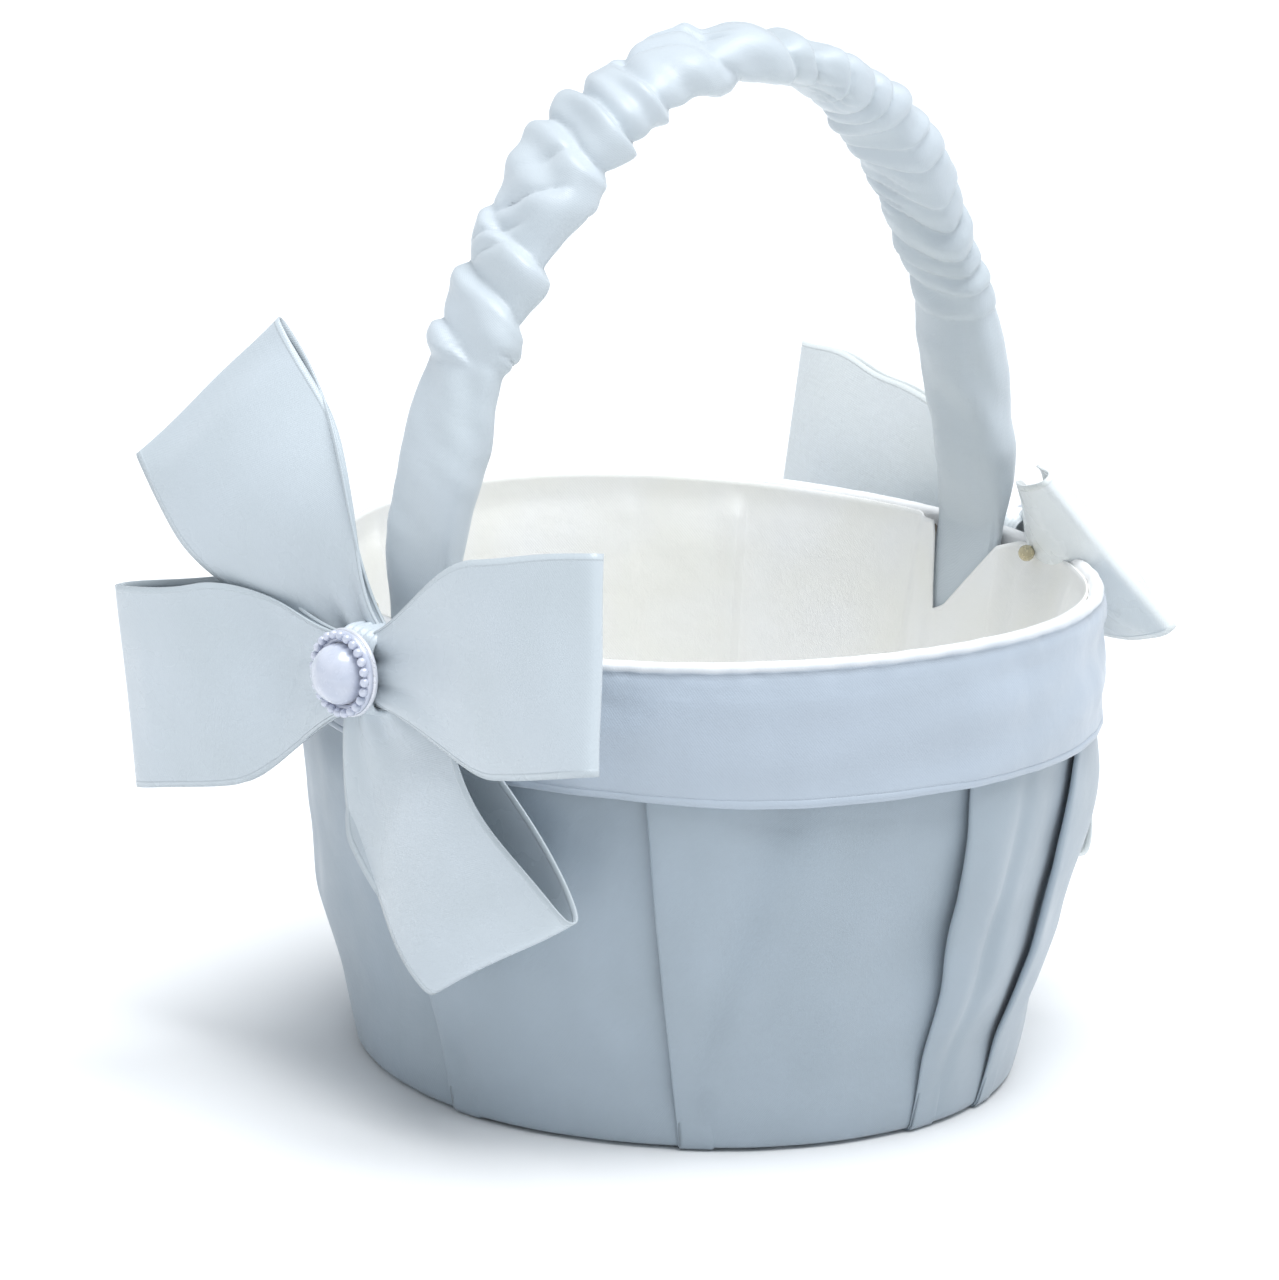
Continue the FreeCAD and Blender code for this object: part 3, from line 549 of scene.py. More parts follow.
def build_cuff():
    """A band folded over the rim.  Its section runs from the lining up the inside, round the
    rolled edge, which is an arc and a shoulder, and down the flared skirt, past the fine line of the
    ribbon's woven edge, to a turned-under hem."""
    set_up = sizes()
    angle = whole_turn(360)
    inner = turned_profile("cuff_band", inside=True)[1].min() + 0.2 * MM
    rim_radius = CUFF_HIGH.x - 1.4 * MM
    roll = 0.95 * MM
    arc = np.linspace(math.pi, 0.12, 14)
    inside = [(inner + 0.3 * MM, RIM - 6 * MM), (inner, RIM - 2.5 * MM)]
    over = [(inner + roll + roll * math.cos(t), RIM - roll + roll * math.sin(t)) for t in arc]
    shoulder = [(rim_radius - 0.9 * MM, RIM - 1.5 * MM), (rim_radius - 0.25 * MM, RIM - 2.6 * MM),
                (rim_radius, RIM - 4.2 * MM)]
    drop = np.concatenate([np.linspace(RIM - 6 * MM, CUFF_LOW.z + 2 * MM, 40),
                           np.linspace(CUFF_LOW.z + 1.8 * MM, CUFF_LOW.z + 0.2 * MM, 9)])
    flare = rim_radius + (CUFF_HIGH.x - rim_radius) * (RIM - drop) / (RIM - CUFF_LOW.z)
    flare = flare - 0.16 * MM * bump(drop, CUFF_LOW.z + 1.0 * MM, 0.25 * MM)
    skirt = list(zip(flare, drop))
    hem = [(CUFF_HIGH.x - 0.15 * MM, CUFF_LOW.z - 0.1 * MM),
           (CUFF_HIGH.x - 0.6 * MM, CUFF_LOW.z - 0.15 * MM),
           (CUFF_HIGH.x - 0.9 * MM, CUFF_LOW.z + 0.6 * MM)]
    section = np.array(inside + over + shoulder + skirt + hem)
    radius, z = section[:, :1], section[:, 1:]
    place = round_about(angle, radius, z)
    down = ease(RIM - z, 2 * MM, 8 * MM)
    edge = 1 - ease(z - CUFF_LOW.z, 0, 6 * MM)
    drag = uneven(place, 21, 9 * MM, 20 * MM, 12, (0.25, 0.25, 1.1))
    puff = uneven(place, 22, 28 * MM, 60 * MM, 8)
    gather = uneven(place, 23, 8 * MM, 16 * MM, 10, (1, 1, 0.15))
    radius = radius + down * MM * (0.60 * drag + 0.42 * puff + 0.15 * gather)
    radius = radius + MM * 0.15 * (1 - down) * uneven(place, 24, 3 * MM, 9 * MM, 12)
    sway = rim_sway(angle) * ease(z, CUFF_LOW.z - 2 * MM, RIM)
    droop = edge * 0.5 * MM * uneven(place * np.array([1, 1, 0]), 25, 30 * MM, 80 * MM, 8)
    points = round_about(angle, radius, z + sway + droop)
    cuff = thicken(surface("rim_cuff", points, ring=True), set_up.cloth, -1)
    # The trim paints the cuff's inner face and rolled edge the lining's cream, painted light against
    # the painted shade of the rest of the cuff.
    material = satin_finish("cuff_satin", "cuff", 0.37, 0.3 * MM, trim=(7.2 * MM, colours().lining))
    finish_piece(cuff, "cuff_band", material)
    return cuff


# ---------------------------------------------------------------- lining and floor

LINING_SEAMS = (7.5, 42.0, 59.5, 95.0, 111.0, 150.0, 192.0, 225.0, 262.0, 300.0, 330.0)


def foot_dip(angle):
    """How far the lining's top edge hangs below the rim: over each foot of the handle it slants
    down to 17 mm and comes almost straight up again."""
    total = 0
    for middle in (0, 180):
        turn = (np.degrees(angle) - middle + 180) % 360 - 180
        slant = np.interp(turn, (-11.5, -8.5, 1.5, 4.2, 6.3), (0, 1.5, 15.5, 17.0, 0))
        total = total + slant * MM
    return total


def build_lining():
    """Cream lining: a cone with a sharp little overlap at each upright seam, slack between the
    seams, and a swelling over each handle foot.  It meets the cuff's inner face at the rim and the
    cushion at the bottom; its top edge dips at the feet."""
    set_up = sizes()
    heights, radii = turned_profile("wall_board", inside=True)
    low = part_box("floor_pad")[0].z + 1 * MM
    angle = whole_turn(540)
    share = np.linspace(0, 1, 90)[:, None]
    top = RIM - 0.45 * MM + rim_sway(angle) - foot_dip(angle)
    z = low + (top - low) * share
    radius = np.interp(z, heights, radii) - 1.0 * MM
    turn = np.degrees(angle)
    for number, seam in enumerate(LINING_SEAMS):
        off = (turn - seam + 180) % 360 - 180
        ridge = np.where(off > 0, bump(off, 0, 2.6), bump(off, 0, 0.45))
        radius = radius - MM * (0.9 + 0.5 * math.sin(number * 2.3)) * ridge
    cuff_inside = turned_profile("cuff_band", inside=True)[1].min() - 0.9 * MM
    near_rim = ease(z, RIM - 8 * MM, RIM - 2 * MM) * (1 - ease(foot_dip(angle), 0, 4 * MM))
    radius = radius + (cuff_inside - radius) * near_rim
    radius = radius - 0.9 * MM * (1 - ease(z, low, low + 9 * MM))
    place = round_about(angle, radius, z)
    slack = 1 - 0.9 * ease(z, RIM - 14 * MM, RIM - 3 * MM)
    radius = radius - 0.5 * MM * slack * (1.3 + uneven(place, 31, 18 * MM, 60 * MM, 10,
                                                      (1, 1, 0.35)))
    across = np.abs(radius * np.sin(angle))
    under = (1 - ease(across, 10.6 * MM, 15 * MM)) * ease(z, RIM - 46 * MM, RIM - 34 * MM)
    facing = foot_face(z) / np.maximum(np.abs(np.cos(angle)), 0.2)
    radius = radius + np.minimum(facing - radius, 0) * under
    points = round_about(angle, radius, z)
    lining = thicken(surface("inner_lining", points, ring=True), set_up.cloth, 1)
    material = satin_finish("lining_satin", "lining", 0.46, 0.3 * MM)
    finish_piece(lining, "lining", material)
    return lining


def foot_face(z):
    """How far from the basket's middle the inner face of a handle foot stands at a height: the
    foot leans with the card wall."""
    return half_span() - 2.4 * MM + wall_slope() * np.minimum(z - RIM, 0)


def build_floor():
    """Padded floor inside, and the cloth disc under the basket."""
    low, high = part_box("floor_pad")
    radius = high.x - 0.4 * MM
    thick = high.z - low.z
    ring = whole_turn(120)
    side = np.linspace(-0.5 * math.pi, 0.5 * math.pi, 26)[:, None]
    reach = blunt(np.cos(side), 0.35)
    middle = low.z + 0.42 * thick
    lift = np.where(side > 0, 0.46 * thick, 0.34 * thick) * np.sin(side)
    points = round_about(ring, (radius - 1.5 * MM) * reach, middle + lift)
    pad = face_out(surface("floor_cushion", points, ring=True, caps=True))
    swell(pad, 2.5 * MM)
    settle_in_box(pad, low, high)
    material = satin_finish("floor_satin", "lining", 0.44, 0.4 * MM)
    finish_piece(pad, "floor_pad", material)

    low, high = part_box("base_cover")
    spread = np.linspace(0.02, 1, 40)[:, None]
    round_edge = np.sqrt(1 - ease(spread, 0.93, 1) ** 2)
    bottom = low.z + 0.08 * MM + (high.z - low.z) * 0.55 * (1 - round_edge)
    place = round_about(ring, high.x * spread, bottom)
    pucker = 0.12 * MM * spread * np.abs(uneven(place, 41, 5 * MM, 14 * MM, 12))
    disc = round_about(ring, high.x * spread, bottom + pucker)
    roof = round_about(ring, high.x * spread[::-1] * 0.995, high.z - 0.1 * MM + 0 * spread)
    under = face_out(surface("under_cloth", np.concatenate([disc, roof]), ring=True, caps=True))
    # The under cloth takes the cover's satin colours, which are painted shade.
    finish_piece(under, "base_cover", satin_finish("under_satin", "satin"))


def swell(pad, cap):
    """Fills a thin cushion: remeshed at 2.5 mm, then the cloth blown up for 20 frames, with no
    gravity, no point moving further than cap."""
    remesh = pad.modifiers.new("remesh", "REMESH")
    remesh.mode = "VOXEL"
    remesh.voxel_size = 2.5 * MM
    apply_modifiers(pad)
    rest = coordinates(pad.data)
    cloth = pad.modifiers.new("swell", "CLOTH")
    cloth.settings.use_pressure = True
    cloth.settings.uniform_pressure_force = 4
    cloth.settings.effector_weights.gravity = 0
    cloth.settings.quality = 6
    cloth.point_cache.frame_start = 1
    cloth.point_cache.frame_end = 20
    for number in range(1, 21):
        bpy.context.scene.frame_set(number)
    apply_modifiers(pad)
    bpy.context.scene.frame_set(1)
    shift = coordinates(pad.data) - rest
    far = np.linalg.norm(shift, axis=1, keepdims=True)
    shift *= np.minimum(1, cap / np.maximum(far, 1e-9))
    pad.data.vertices.foreach_set("co", (rest + shift).ravel())
    finer = pad.modifiers.new("finer", "SUBSURF")
    finer.levels = 1
    finer.render_levels = 1
    apply_modifiers(pad)


def apply_modifiers(piece):
    """Makes a piece's mesh what its modifiers show, and removes them."""
    graph = bpy.context.evaluated_depsgraph_get()
    graph.update()
    mesh = bpy.data.meshes.new_from_object(piece.evaluated_get(graph), depsgraph=graph)
    piece.modifiers.clear()
    piece.data = mesh
    mesh.polygons.foreach_set("use_smooth", np.ones(len(mesh.polygons), bool))


def settle_in_box(piece, low, high):
    """Keeps the points inside a box by pressing them onto its faces, as a cushion sits in its
    place."""
    points = coordinates(piece.data)
    radius = np.hypot(points[:, 0], points[:, 1])
    shrink = np.minimum(1, (high.x - 0.1 * MM) / np.maximum(radius, 1e-9))
    points[:, :2] *= shrink[:, None]
    tall = points[:, 2].max() - points[:, 2].min()
    lift = (points[:, 2] - points[:, 2].min()) / tall
    points[:, 2] = low.z + 0.1 * MM + lift * min(tall, high.z - low.z - 0.2 * MM)
    piece.data.vertices.foreach_set("co", points.ravel())
    piece.data.update()


# ---------------------------------------------------------------- handle

def half_span():
    """Distance from the middle to the strip's centreline at the rim."""
    return STRIP_HIGH.x - STRIP_HALF


def arch_line(reach_down):
    """The centreline of the handle: up one leaning foot, round the three-centred arch and down
    the other.  The arch has two side arcs, upright at the rim, and a top arc tangent to both.
    Gives points and unit normals in the XZ plane, evenly spaced."""
    half = half_span()
    rise = STRIP_HIGH.z - STRIP_HALF - RIM
    crown = half - sizes().crown_inset
    side = (half ** 2 + rise ** 2 - 2 * rise * crown) / (2 * (half - crown))
    joint = math.atan2(rise - crown, side - half)
    foot = np.linspace(-reach_down, 0, 40, endpoint=False)
    first = np.stack([-half - wall_slope() * foot, RIM + foot], axis=-1)
    sweep = np.linspace(0, joint, 160, endpoint=False)
    second = np.stack([side - half - side * np.cos(sweep), RIM + side * np.sin(sweep)], -1)
    over = np.linspace(math.pi - joint, joint, 240)
    third = np.stack([crown * np.cos(over), RIM + rise - crown + crown * np.sin(over)], -1)
    mirrored = np.concatenate([first, second])[::-1] * np.array([-1, 1])
    line = np.concatenate([first, second, third[1:-1], mirrored])
    run = run_of(line)
    even = np.linspace(0, run[-1], 620)
    line = np.stack([np.interp(even, run, line[:, 0]), np.interp(even, run, line[:, 1])], -1)
    along = unit(np.gradient(line, axis=0))
    normal = np.stack([-along[:, 1], along[:, 0]], axis=-1)
    return line, normal, even


def wall_slope():
    """How far the card wall leans outwards for each metre of height."""
    heights, radii = turned_profile("wall_board", inside=True)
    return (radii[-1] - radii[0]) / (heights[-1] - heights[0])


def crease_phase(along, pitch, seed):
    """Counts creases along a line: they lie a pitch apart, each shifted at random by up to a
    quarter of the gap.  Gives the places of whole counts, for reading the count off anywhere."""
    count = np.concatenate([[0], np.cumsum(np.diff(along) / pitch[1:])])
    whole = np.arange(int(count[-1]) + 1)
    shift = np.random.default_rng(seed).uniform(-0.25, 0.25, len(whole))
    return np.interp(whole + shift, count, along), whole


def build_sleeve():
    """A flattened satin tube round the strip.  Its section is a rounded oval, wide across and
    thin in the arch's plane.  Over the arch the gathers are puffs between creases: each puff
    rises slowly over its phase and drops at the next crease, like a shingle, and the creases slant
    across the tube and bend round its edge.  Finer creases of the other slant cut some puffs, and
    fine drag lines follow the creases.  The legs have broad dents and slack folds that wind along
    them."""
    set_up = sizes()
    reach = FOOT_LENGTH
    line, normal, run = arch_line(reach)
    total = run[-1]
    wide = SLEEVE_HIGH.y
    thick = 4.5 * MM
    turn = whole_turn(76)
    s = run[:, None]
    above = np.minimum(s, total - s) - reach
    full = ease(above, -1 * MM, 16 * MM)
    half_thick = 1.5 * MM + (thick - 1.5 * MM) * full
    ruched = (ease(s, reach + 46 * MM, reach + 48.5 * MM)
              * ease(total - s, reach + 38 * MM, reach + 58 * MM))
    half_wide = wide * (0.85 + 0.11 * ease(above, 2 * MM, 40 * MM))
    power = 0.72
    across = half_wide * blunt(np.cos(turn), power)
    outward = half_thick * blunt(np.sin(turn), power)
    place = np.stack([s + 0 * turn, across, outward], axis=-1)
    fine = ease(run, 0.47 * total, 0.62 * total)
    low_left = 1 - ease(run, 0.22 * total, 0.34 * total)
    pitch = (13.5 - 3.0 * low_left - 8.0 * fine) * MM
    fine = fine[:, None]
    lean = uneven(place * np.array([1, 0, 0]), 53, 30 * MM, 70 * MM, 6)
    slant = 0.50 - 0.42 * fine + 0.32 * lean
    bend = (-0.25 + 0.9 * ease(s, 0.25 * total, 0.45 * total)) * (1 - 0.6 * fine)
    wander = (1.6 - 0.2 * fine) * MM * uneven(place, 51, 22 * MM, 50 * MM, 8)
    shifted = s - slant * across + bend * outward - wander
    places, whole = crease_phase(run, pitch, 71)
    phase = np.interp(shifted, places, whole)
    size = np.interp(phase, whole + 0.5, np.random.default_rng(72).uniform(0.72, 1.2, len(whole)))
    lap = phase - np.floor(phase)
    shingle = lap ** 0.8 * (1 - ease(lap, 0.80, 1.0))
    hump = np.abs(np.sin(math.pi * phase)) ** 0.8
    puff = size * (0.30 + 0.62 * shingle + 0.30 * hump)
    drag = np.stack([shifted + 0 * turn, 0.22 * across, 0.22 * outward], axis=-1)
    drag = uneven(drag, 59, 3.5 * MM, 9 * MM, 14)
    places, whole = crease_phase(run, 0.62 * pitch, 73)
    count = np.interp(s + 0.75 * across - 0.3 * outward + 1.3 * wander, places, whole)
    cut = ease(uneven(place, 54, 14 * MM, 34 * MM, 8), 0.1, 1.3)
    cut = cut * (1 - np.abs(np.sin(math.pi * count)) ** 0.5)
    crease = uneven(place, 55, 3 * MM, 8 * MM, 16, (0.8, 0.6, 0.6))
    bulk = uneven(place, 56, 18 * MM, 40 * MM, 8)
    depth = set_up.ruche_depth * (1.25 - 0.5 * fine)
    dents = uneven(place, 57, 20 * MM, 44 * MM, 10, (0.9, 0.8, 0.5))
    slack = np.cos(3 * turn + s / (8 * MM) + 1.6 * uneven(place, 58, 20 * MM, 50 * MM, 6))
    grow = ruched * (depth * (puff - 0.62 - 0.55 * cut)
                     + MM * (0.42 * drag + 0.06 * crease + 0.5 * bulk))
    grow = grow + (1 - ruched) * full * MM * (dents + 0.35 * slack + 0.10 * drag)
    way_across = 0.75 * across / half_wide
    way_out = outward / half_thick
    away = np.hypot(way_across, way_out)
    across = across + grow * way_across / away
    outward = outward + grow * way_out / away
    outward = np.where(np.abs(np.sin(turn)) > 0.6,
                       np.sign(np.sin(turn)) * np.maximum(np.abs(outward), 1.5 * MM), outward)
    x = line[:, :1] + normal[:, :1] * outward
    z = line[:, 1:] + normal[:, 1:] * outward
    points = np.stack([x, across, z], axis=-1)
    points[..., 2] += rim_sway(0) * (1 - ease(points[..., 2], RIM, RIM + 20 * MM))
    sleeve = thicken(face_out(surface("handle_ruching", points, ring=True)), 0.3 * MM, -1)
    # The sleeve takes the ribbon colours, which carry painted shade.
    material = satin_finish("sleeve_satin", "ribbon", 0.36, 0.22 * MM)
    finish_piece(sleeve, "handle_sleeve", material)
    return sleeve


# ---------------------------------------------------------------- bows

# Each loop of a ribbon: where its fold lies from the bow's middle in millimetres (outwards from
# the basket, along +Y, and up), the direction of the fold itself, how wide the loop opens, how
# far its layers bow outwards, its twist in degrees, the share of its length where it reaches its
# full width, how far its middle line bends along the fold's direction, how deep its front layer
# hollows, and how wavy the edge at the fold's end is.
LOOPS = {
    ("left", "ribbon_a"): (
        ((3, 49, 43), (0.39, 0.57, -0.72), 5.0, 4.0, 8, 0.72, 2.0, 2.6, 0.0),
        ((0, -36, -46), (0.09, 0.83, -0.56), 9, 2.5, -8, 0.42, 9.0, 1.8, 0.0),
    ),
    ("left", "ribbon_b"): (
        ((4, 63, -17), (0.10, 0.04, 0.99), 9, 1.5, 6, 0.60, 0.0, 6.0, 0.0),
        ((0, -63, 15), (-0.15, 0.21, 0.97), 9, 2.2, 4, 0.58, 0.0, 0.8, 0.0),
    ),
    ("right", "ribbon_a"): (
        ((-2, 40, -46), (0.05, 0.75, 0.66), 10, 2.0, -8, 0.60, 0.0, 1.5, 0.0),
        ((-4, -12, -58), (0.05, 0.98, -0.2), 10, 2.0, 8, 0.55, 0.0, 1.5, 0.0),
    ),
    ("right", "ribbon_b"): (
        ((0, 66, 11), (0.22, 0.10, 0.97), 3, 1.2, 0, 0.36, 0.0, 1.0, 0.10),
        ((-16, -40, 9), (-0.49, 0.45, 0.75), 7, 4.0, 0, 0.80, 0.0, 0.0, 0.0),
    ),
}


def loop_points(loop, depth):
    """One loop of ribbon, out and back.  Along it, t from 0 to 1, the middle line goes out along
    the loop's way by half of one less the cosine of a whole turn, and stands off either side of
    it by a root of that turn's sine, so the fold is round.  The ribbon's own direction swings
    from gathered at the knot to the fold's direction.  Bell curves add the hollow of the front
    layer and the waves of one edge."""
    way, fold, opening, swell_by, twist, full, bend, hollow, wave = loop
    t = np.linspace(0, 1, RIBBON_ROWS)[:, None]
    out = 0.5 * (1 - np.cos(2 * math.pi * t))
    side = -np.sin(2 * math.pi * t)
    way = np.asarray(way, float) * MM
    outwards = np.array([1.0, 0, 0])
    fold = unit(np.asarray(fold, float))
    ahead = unit(way)
    narrow = unit(np.cross(outwards, ahead))
    narrow = narrow * np.sign(narrow @ fold)
    half = sizes().ribbon_width / 2
    knot_half = 6.5 * MM
    half_width = knot_half + (half - knot_half) * ease(out, 0.0, full)
    turned = ease(out, 0.1, 0.9)
    across = unit(narrow * (1 - turned) + fold * turned)
    tilt = math.radians(twist) * side * ease(out, 0, 0.6) * (1 - ease(out, 0.6, 1))
    away = unit(np.cross(ahead, across))
    away = away * np.sign(away @ outwards)[:, None]
    across = across * np.cos(tilt) + away * np.sin(tilt)
    away = unit(np.cross(ahead, across))
    away = away * np.sign(away @ outwards)[:, None]
    stand = blunt(side, 0.75)
    sideways = np.sin(math.pi * out ** 0.6) * (1 - 0.5 * out)
    middle = way * out + away * (opening * MM / 2) * stand * (0.25 + 0.75 * out)
    middle = middle + outwards * depth + across * (bend * MM * sideways)
    lane = np.linspace(-1, 1, RIBBON_LANES)[None, :]
    fade = (1 - ease(out, 0.0, 0.42)) ** 1.3
    gathers = np.cos(2 * math.pi * 1.45 * lane + 0.9 * side + 0.4 * way[1] / MM) * fade
    crown = swell_by * MM * (1 - lane ** 2) * ease(out, 0.15, 0.5) * (1 - ease(out, 0.85, 1)) * side
    front = ease(side, 0, 0.3)
    dip = hollow * MM * bump(out, 0.36, 0.17) * (1 - 0.5 * lane ** 2) * front
    waves = wave * np.maximum(lane, 0) ** 2 * (bump(out, 1, 0.13) + 0.45 * bump(out, 0.66, 0.1))
    lift = 0.6 * MM * gathers + crown - dip
    reach = lane - waves
    return (middle[:, None, :] + across[:, None, :] * (half_width * reach)[..., None]
            + away[:, None, :] * lift[..., None])


def ribbon_satin(side_name):
    """The ribbon's satin: the right bow's is painted paler, painted light for the glow of light
    through the thin cloth, and the left bow's is a darker, cooler white, painted shade.
    """
    hue = "ribbon" if side_name == "left" else "far_ribbon"
    return satin_finish(f"ribbon_satin_{side_name}", hue, 0.27, 0.12 * MM, sizes().ribbon_width)


def build_ribbon(side_name, ribbon):
    """Two loops of one ribbon that meet inside the knot, as one long strip."""
    set_up = sizes()
    low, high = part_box(f"bow_{side_name}_knot")
    layer = 0 if ribbon == "ribbon_a" else 1
    wrap_room = 1.1 * MM
    inner = min(abs(low.x), abs(high.x)) + wrap_room
    outer = max(abs(low.x), abs(high.x)) - wrap_room
    room = (outer - inner) / 2
    depth = inner + room * (layer + 0.5)
    strips = [loop_points(loop, depth) for loop in LOOPS[(side_name, ribbon)]]
    gap = np.linalg.norm(strips[0][-1] - strips[1][0], axis=-1).mean()
    flipped = np.linalg.norm(strips[0][-1] - strips[1][0][::-1], axis=-1).mean()
    if flipped < gap:
        strips[1] = strips[1][:, ::-1]
    points = np.concatenate([strips[0][:-1], 0.5 * (strips[0][-1:] + strips[1][:1]),
                             strips[1][1:]])
    points = points + 0.3 * MM * uneven(points, 61 + layer, 14 * MM, 40 * MM, 10)[..., None]
    points[..., 0] *= SIDES[side_name]
    points[..., 2] += (low.z + high.z) / 2
    along = run_of(points[:, RIBBON_LANES // 2])
    lane = np.linspace(-0.5, 0.5, RIBBON_LANES) * set_up.ribbon_width
    cloth = np.stack(np.meshgrid(along, lane, indexing="ij"), axis=-1)
    piece = thicken(surface(f"bow_{side_name}_{ribbon}_satin", points, cloth=cloth),
                    RIBBON_CLOTH)
    finish_piece(piece, f"bow_{side_name}_{ribbon}", ribbon_satin(side_name))
    return piece


def build_knot(side_name):
    """The short ribbon wrapped round a bow's middle: a ring whose section is a rounded box in
    the plane across its width, with pleats that run round it."""
    side = SIDES[side_name]
    low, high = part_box(f"bow_{side_name}_knot")
    centre = (low + high) / 2
    reach = (high - low) / 2
    turn = whole_turn(96)
    lane = np.linspace(-1, 1, 41)[:, None]
    power = 0.55
    pleats = 0.28 * MM * np.cos(5 * math.pi * lane + 0.6 * np.sin(2 * turn))
    pinch = 1 - 0.06 * lane ** 2
    x = (reach.x - 0.45 * MM + pleats) * blunt(np.cos(turn), power)
    z = (reach.z - 0.45 * MM + pleats) * pinch * blunt(np.sin(turn), power)
    y = reach.y * lane + 0 * turn
    points = np.stack([centre.x + x * side, centre.y + y, centre.z + z], axis=-1)
    knot = thicken(surface(f"bow_{side_name}_wrap", points, ring=True), RIBBON_CLOTH)
    finish_piece(knot, f"bow_{side_name}_knot", ribbon_satin(side_name))
    return knot


def build_bows():
    for side_name in SIDES:
        for ribbon in ("ribbon_a", "ribbon_b"):
            build_ribbon(side_name, ribbon)
        build_knot(side_name)


# ---------------------------------------------------------------- brooches

def on_brooch(side_name, radius, height):
    """Points of a brooch from a radius about its axis and a height off its plate's back."""
    low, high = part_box(f"bow_{side_name}_brooch_plate")
    side = SIDES[side_name]
    back = low.x if side > 0 else high.x
    turn = whole_turn(radius.shape[1])
    return np.stack(np.broadcast_arrays(back + side * height, side * radius * np.cos(turn),
                                        (low.z + high.z) / 2 + radius * np.sin(turn)), axis=-1)


def turned_on_brooch(side_name, outline, columns=96):
    """A turned shape about the brooch's axis, from (radius, height) pairs."""
    outline = np.asarray(outline, float)
    radius = np.broadcast_to(outline[:, :1], (len(outline), columns))
    return on_brooch(side_name, radius, outline[:, 1:])


def pearl_material():
    def make(name):
        made = Shading(name)
        swirl = made.noise(made.place(), 260, 3)
        tint = made.blend(made.ramp(swirl, 0, 1), colours().pearl, (0.55, 0.59, 0.70))
        made.link(tint, made.shader.inputs["Base Color"])
        made.link(made.ramp(made.noise(made.place(), 700, 2), 0.20, 0.30),
                  made.shader.inputs["Roughness"])
        made.relief((made.noise(made.place(), 320, 2), 0.08 * MM))
        made.set(Coat_Weight=0.7, Coat_Roughness=0.12, Sheen_Weight=0.3,
                 Specular_IOR_Level=0.6)
        return made.material
    return shared("pearl", make)


def build_brooch(side_name):
    """Plate with a rounded edge, ring of beads on a stepped bezel, and the domed pearl."""
    set_up = sizes()
    name = f"bow_{side_name}_brooch"
    low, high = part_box(f"{name}_plate")
    wide, thick = high.z - low.z, high.x - low.x
    radius = 1.06 * wide / 2
    arc = np.linspace(-0.5 * math.pi, 0.5 * math.pi, 9)
    edge = [(radius - thick / 2 + thick / 2 * math.cos(t), thick / 2 + thick / 2 * math.sin(t))
            for t in arc]
    plate = face_out(surface(f"{name}_back", turned_on_brooch(side_name, [
        (0.3 * MM, 0), *edge, (0.3 * MM, thick)]), ring=True, caps=True))
    plate_finish = shared("brooch_plate", lambda word: plain(
        word, (0.80, 0.81, 0.86), (0.72, 0.74, 0.80), 300, 0.02 * MM, 0.3, Metallic=0.25,
        Specular_IOR_Level=0.6))
    finish_piece(plate, f"{name}_plate", plate_finish)

    pearl_low, pearl_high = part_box(f"{name}_pearl")
    bead = set_up.pearl_bead / 2
    ring_radius = radius - bead - 0.05 * MM
    pearl_radius = (pearl_high.z - pearl_low.z) / 2 + 0.1 * MM
    base = thick
    step = [(pearl_radius + 0.1 * MM, base), (radius - 0.25 * MM, base),
            (radius - 0.35 * MM, base + 0.7 * MM), (ring_radius + 0.2 * MM, base + 1.0 * MM),
            (ring_radius - bead, base + 0.9 * MM), (pearl_radius + 0.15 * MM, base + 0.8 * MM),
            (pearl_radius + 0.1 * MM, base)]
    seat = surface(f"{name}_seat", turned_on_brooch(side_name, step), ring=True)
    side = SIDES[side_name]
    axis_x = (low.x if side > 0 else high.x) + side * (base + 1.45 * MM)
    middle_z = (low.z + high.z) / 2
    grids = []
    rise = np.linspace(-0.5 * math.pi, 0.5 * math.pi, 10)[1:-1, None]
    spin = whole_turn(14)
    for number in range(BEAD_COUNT):
        turn = 2 * math.pi * number / BEAD_COUNT
        ball = np.stack(np.broadcast_arrays(np.sin(rise), np.cos(rise) * np.cos(spin),
                                            np.cos(rise) * np.sin(spin)), axis=-1) * bead * 0.92
        grids.append(ball + np.array([axis_x, ring_radius * math.cos(turn),
                                      middle_z + ring_radius * math.sin(turn)]))
    beads = join_grids(f"{name}_beads", grids)
    face_out(seat)
    with bpy.context.temp_override(active_object=beads, selected_editable_objects=[beads, seat]):
        bpy.ops.object.join()
    bead_finish = shared("brooch_beads", lambda word: plain(
        word, (0.70, 0.72, 0.82), (0.55, 0.59, 0.71), 400, 0.02 * MM, 0.18, Metallic=0.1,
        Coat_Weight=0.6, Coat_Roughness=0.1, Specular_IOR_Level=0.7))
    finish_piece(beads, f"{name}_bezel", bead_finish)

    far = max(abs(pearl_low.x), abs(pearl_high.x)) - min(abs(low.x), abs(high.x))
    up = np.linspace(0, 0.5 * math.pi, 40)[:, None]
    spin = whole_turn(120)
    flutes = 0.10 * MM * np.cos(6 * spin + 0.8) * np.sin(2 * up) ** 2
    dome_radius = pearl_radius * np.cos(up) + flutes
    dome_radius = np.maximum(dome_radius, 0.02 * MM)
    rise = far + 0.4 * MM - thick
    dome_height = (thick + 0.2 * MM + 1.1 * MM * np.minimum(up / 0.12, 1) + rise * np.sin(up)
                   + 0 * spin)
    dome = on_brooch(side_name, dome_radius, dome_height)
    pearl = face_out(surface(f"{name}_dome", dome, ring=True, caps=True))
    finish_piece(pearl, f"{name}_pearl", pearl_material())


def build_brooches():
    for side_name in SIDES:
        build_brooch(side_name)


# ---------------------------------------------------------------- hard inner pieces

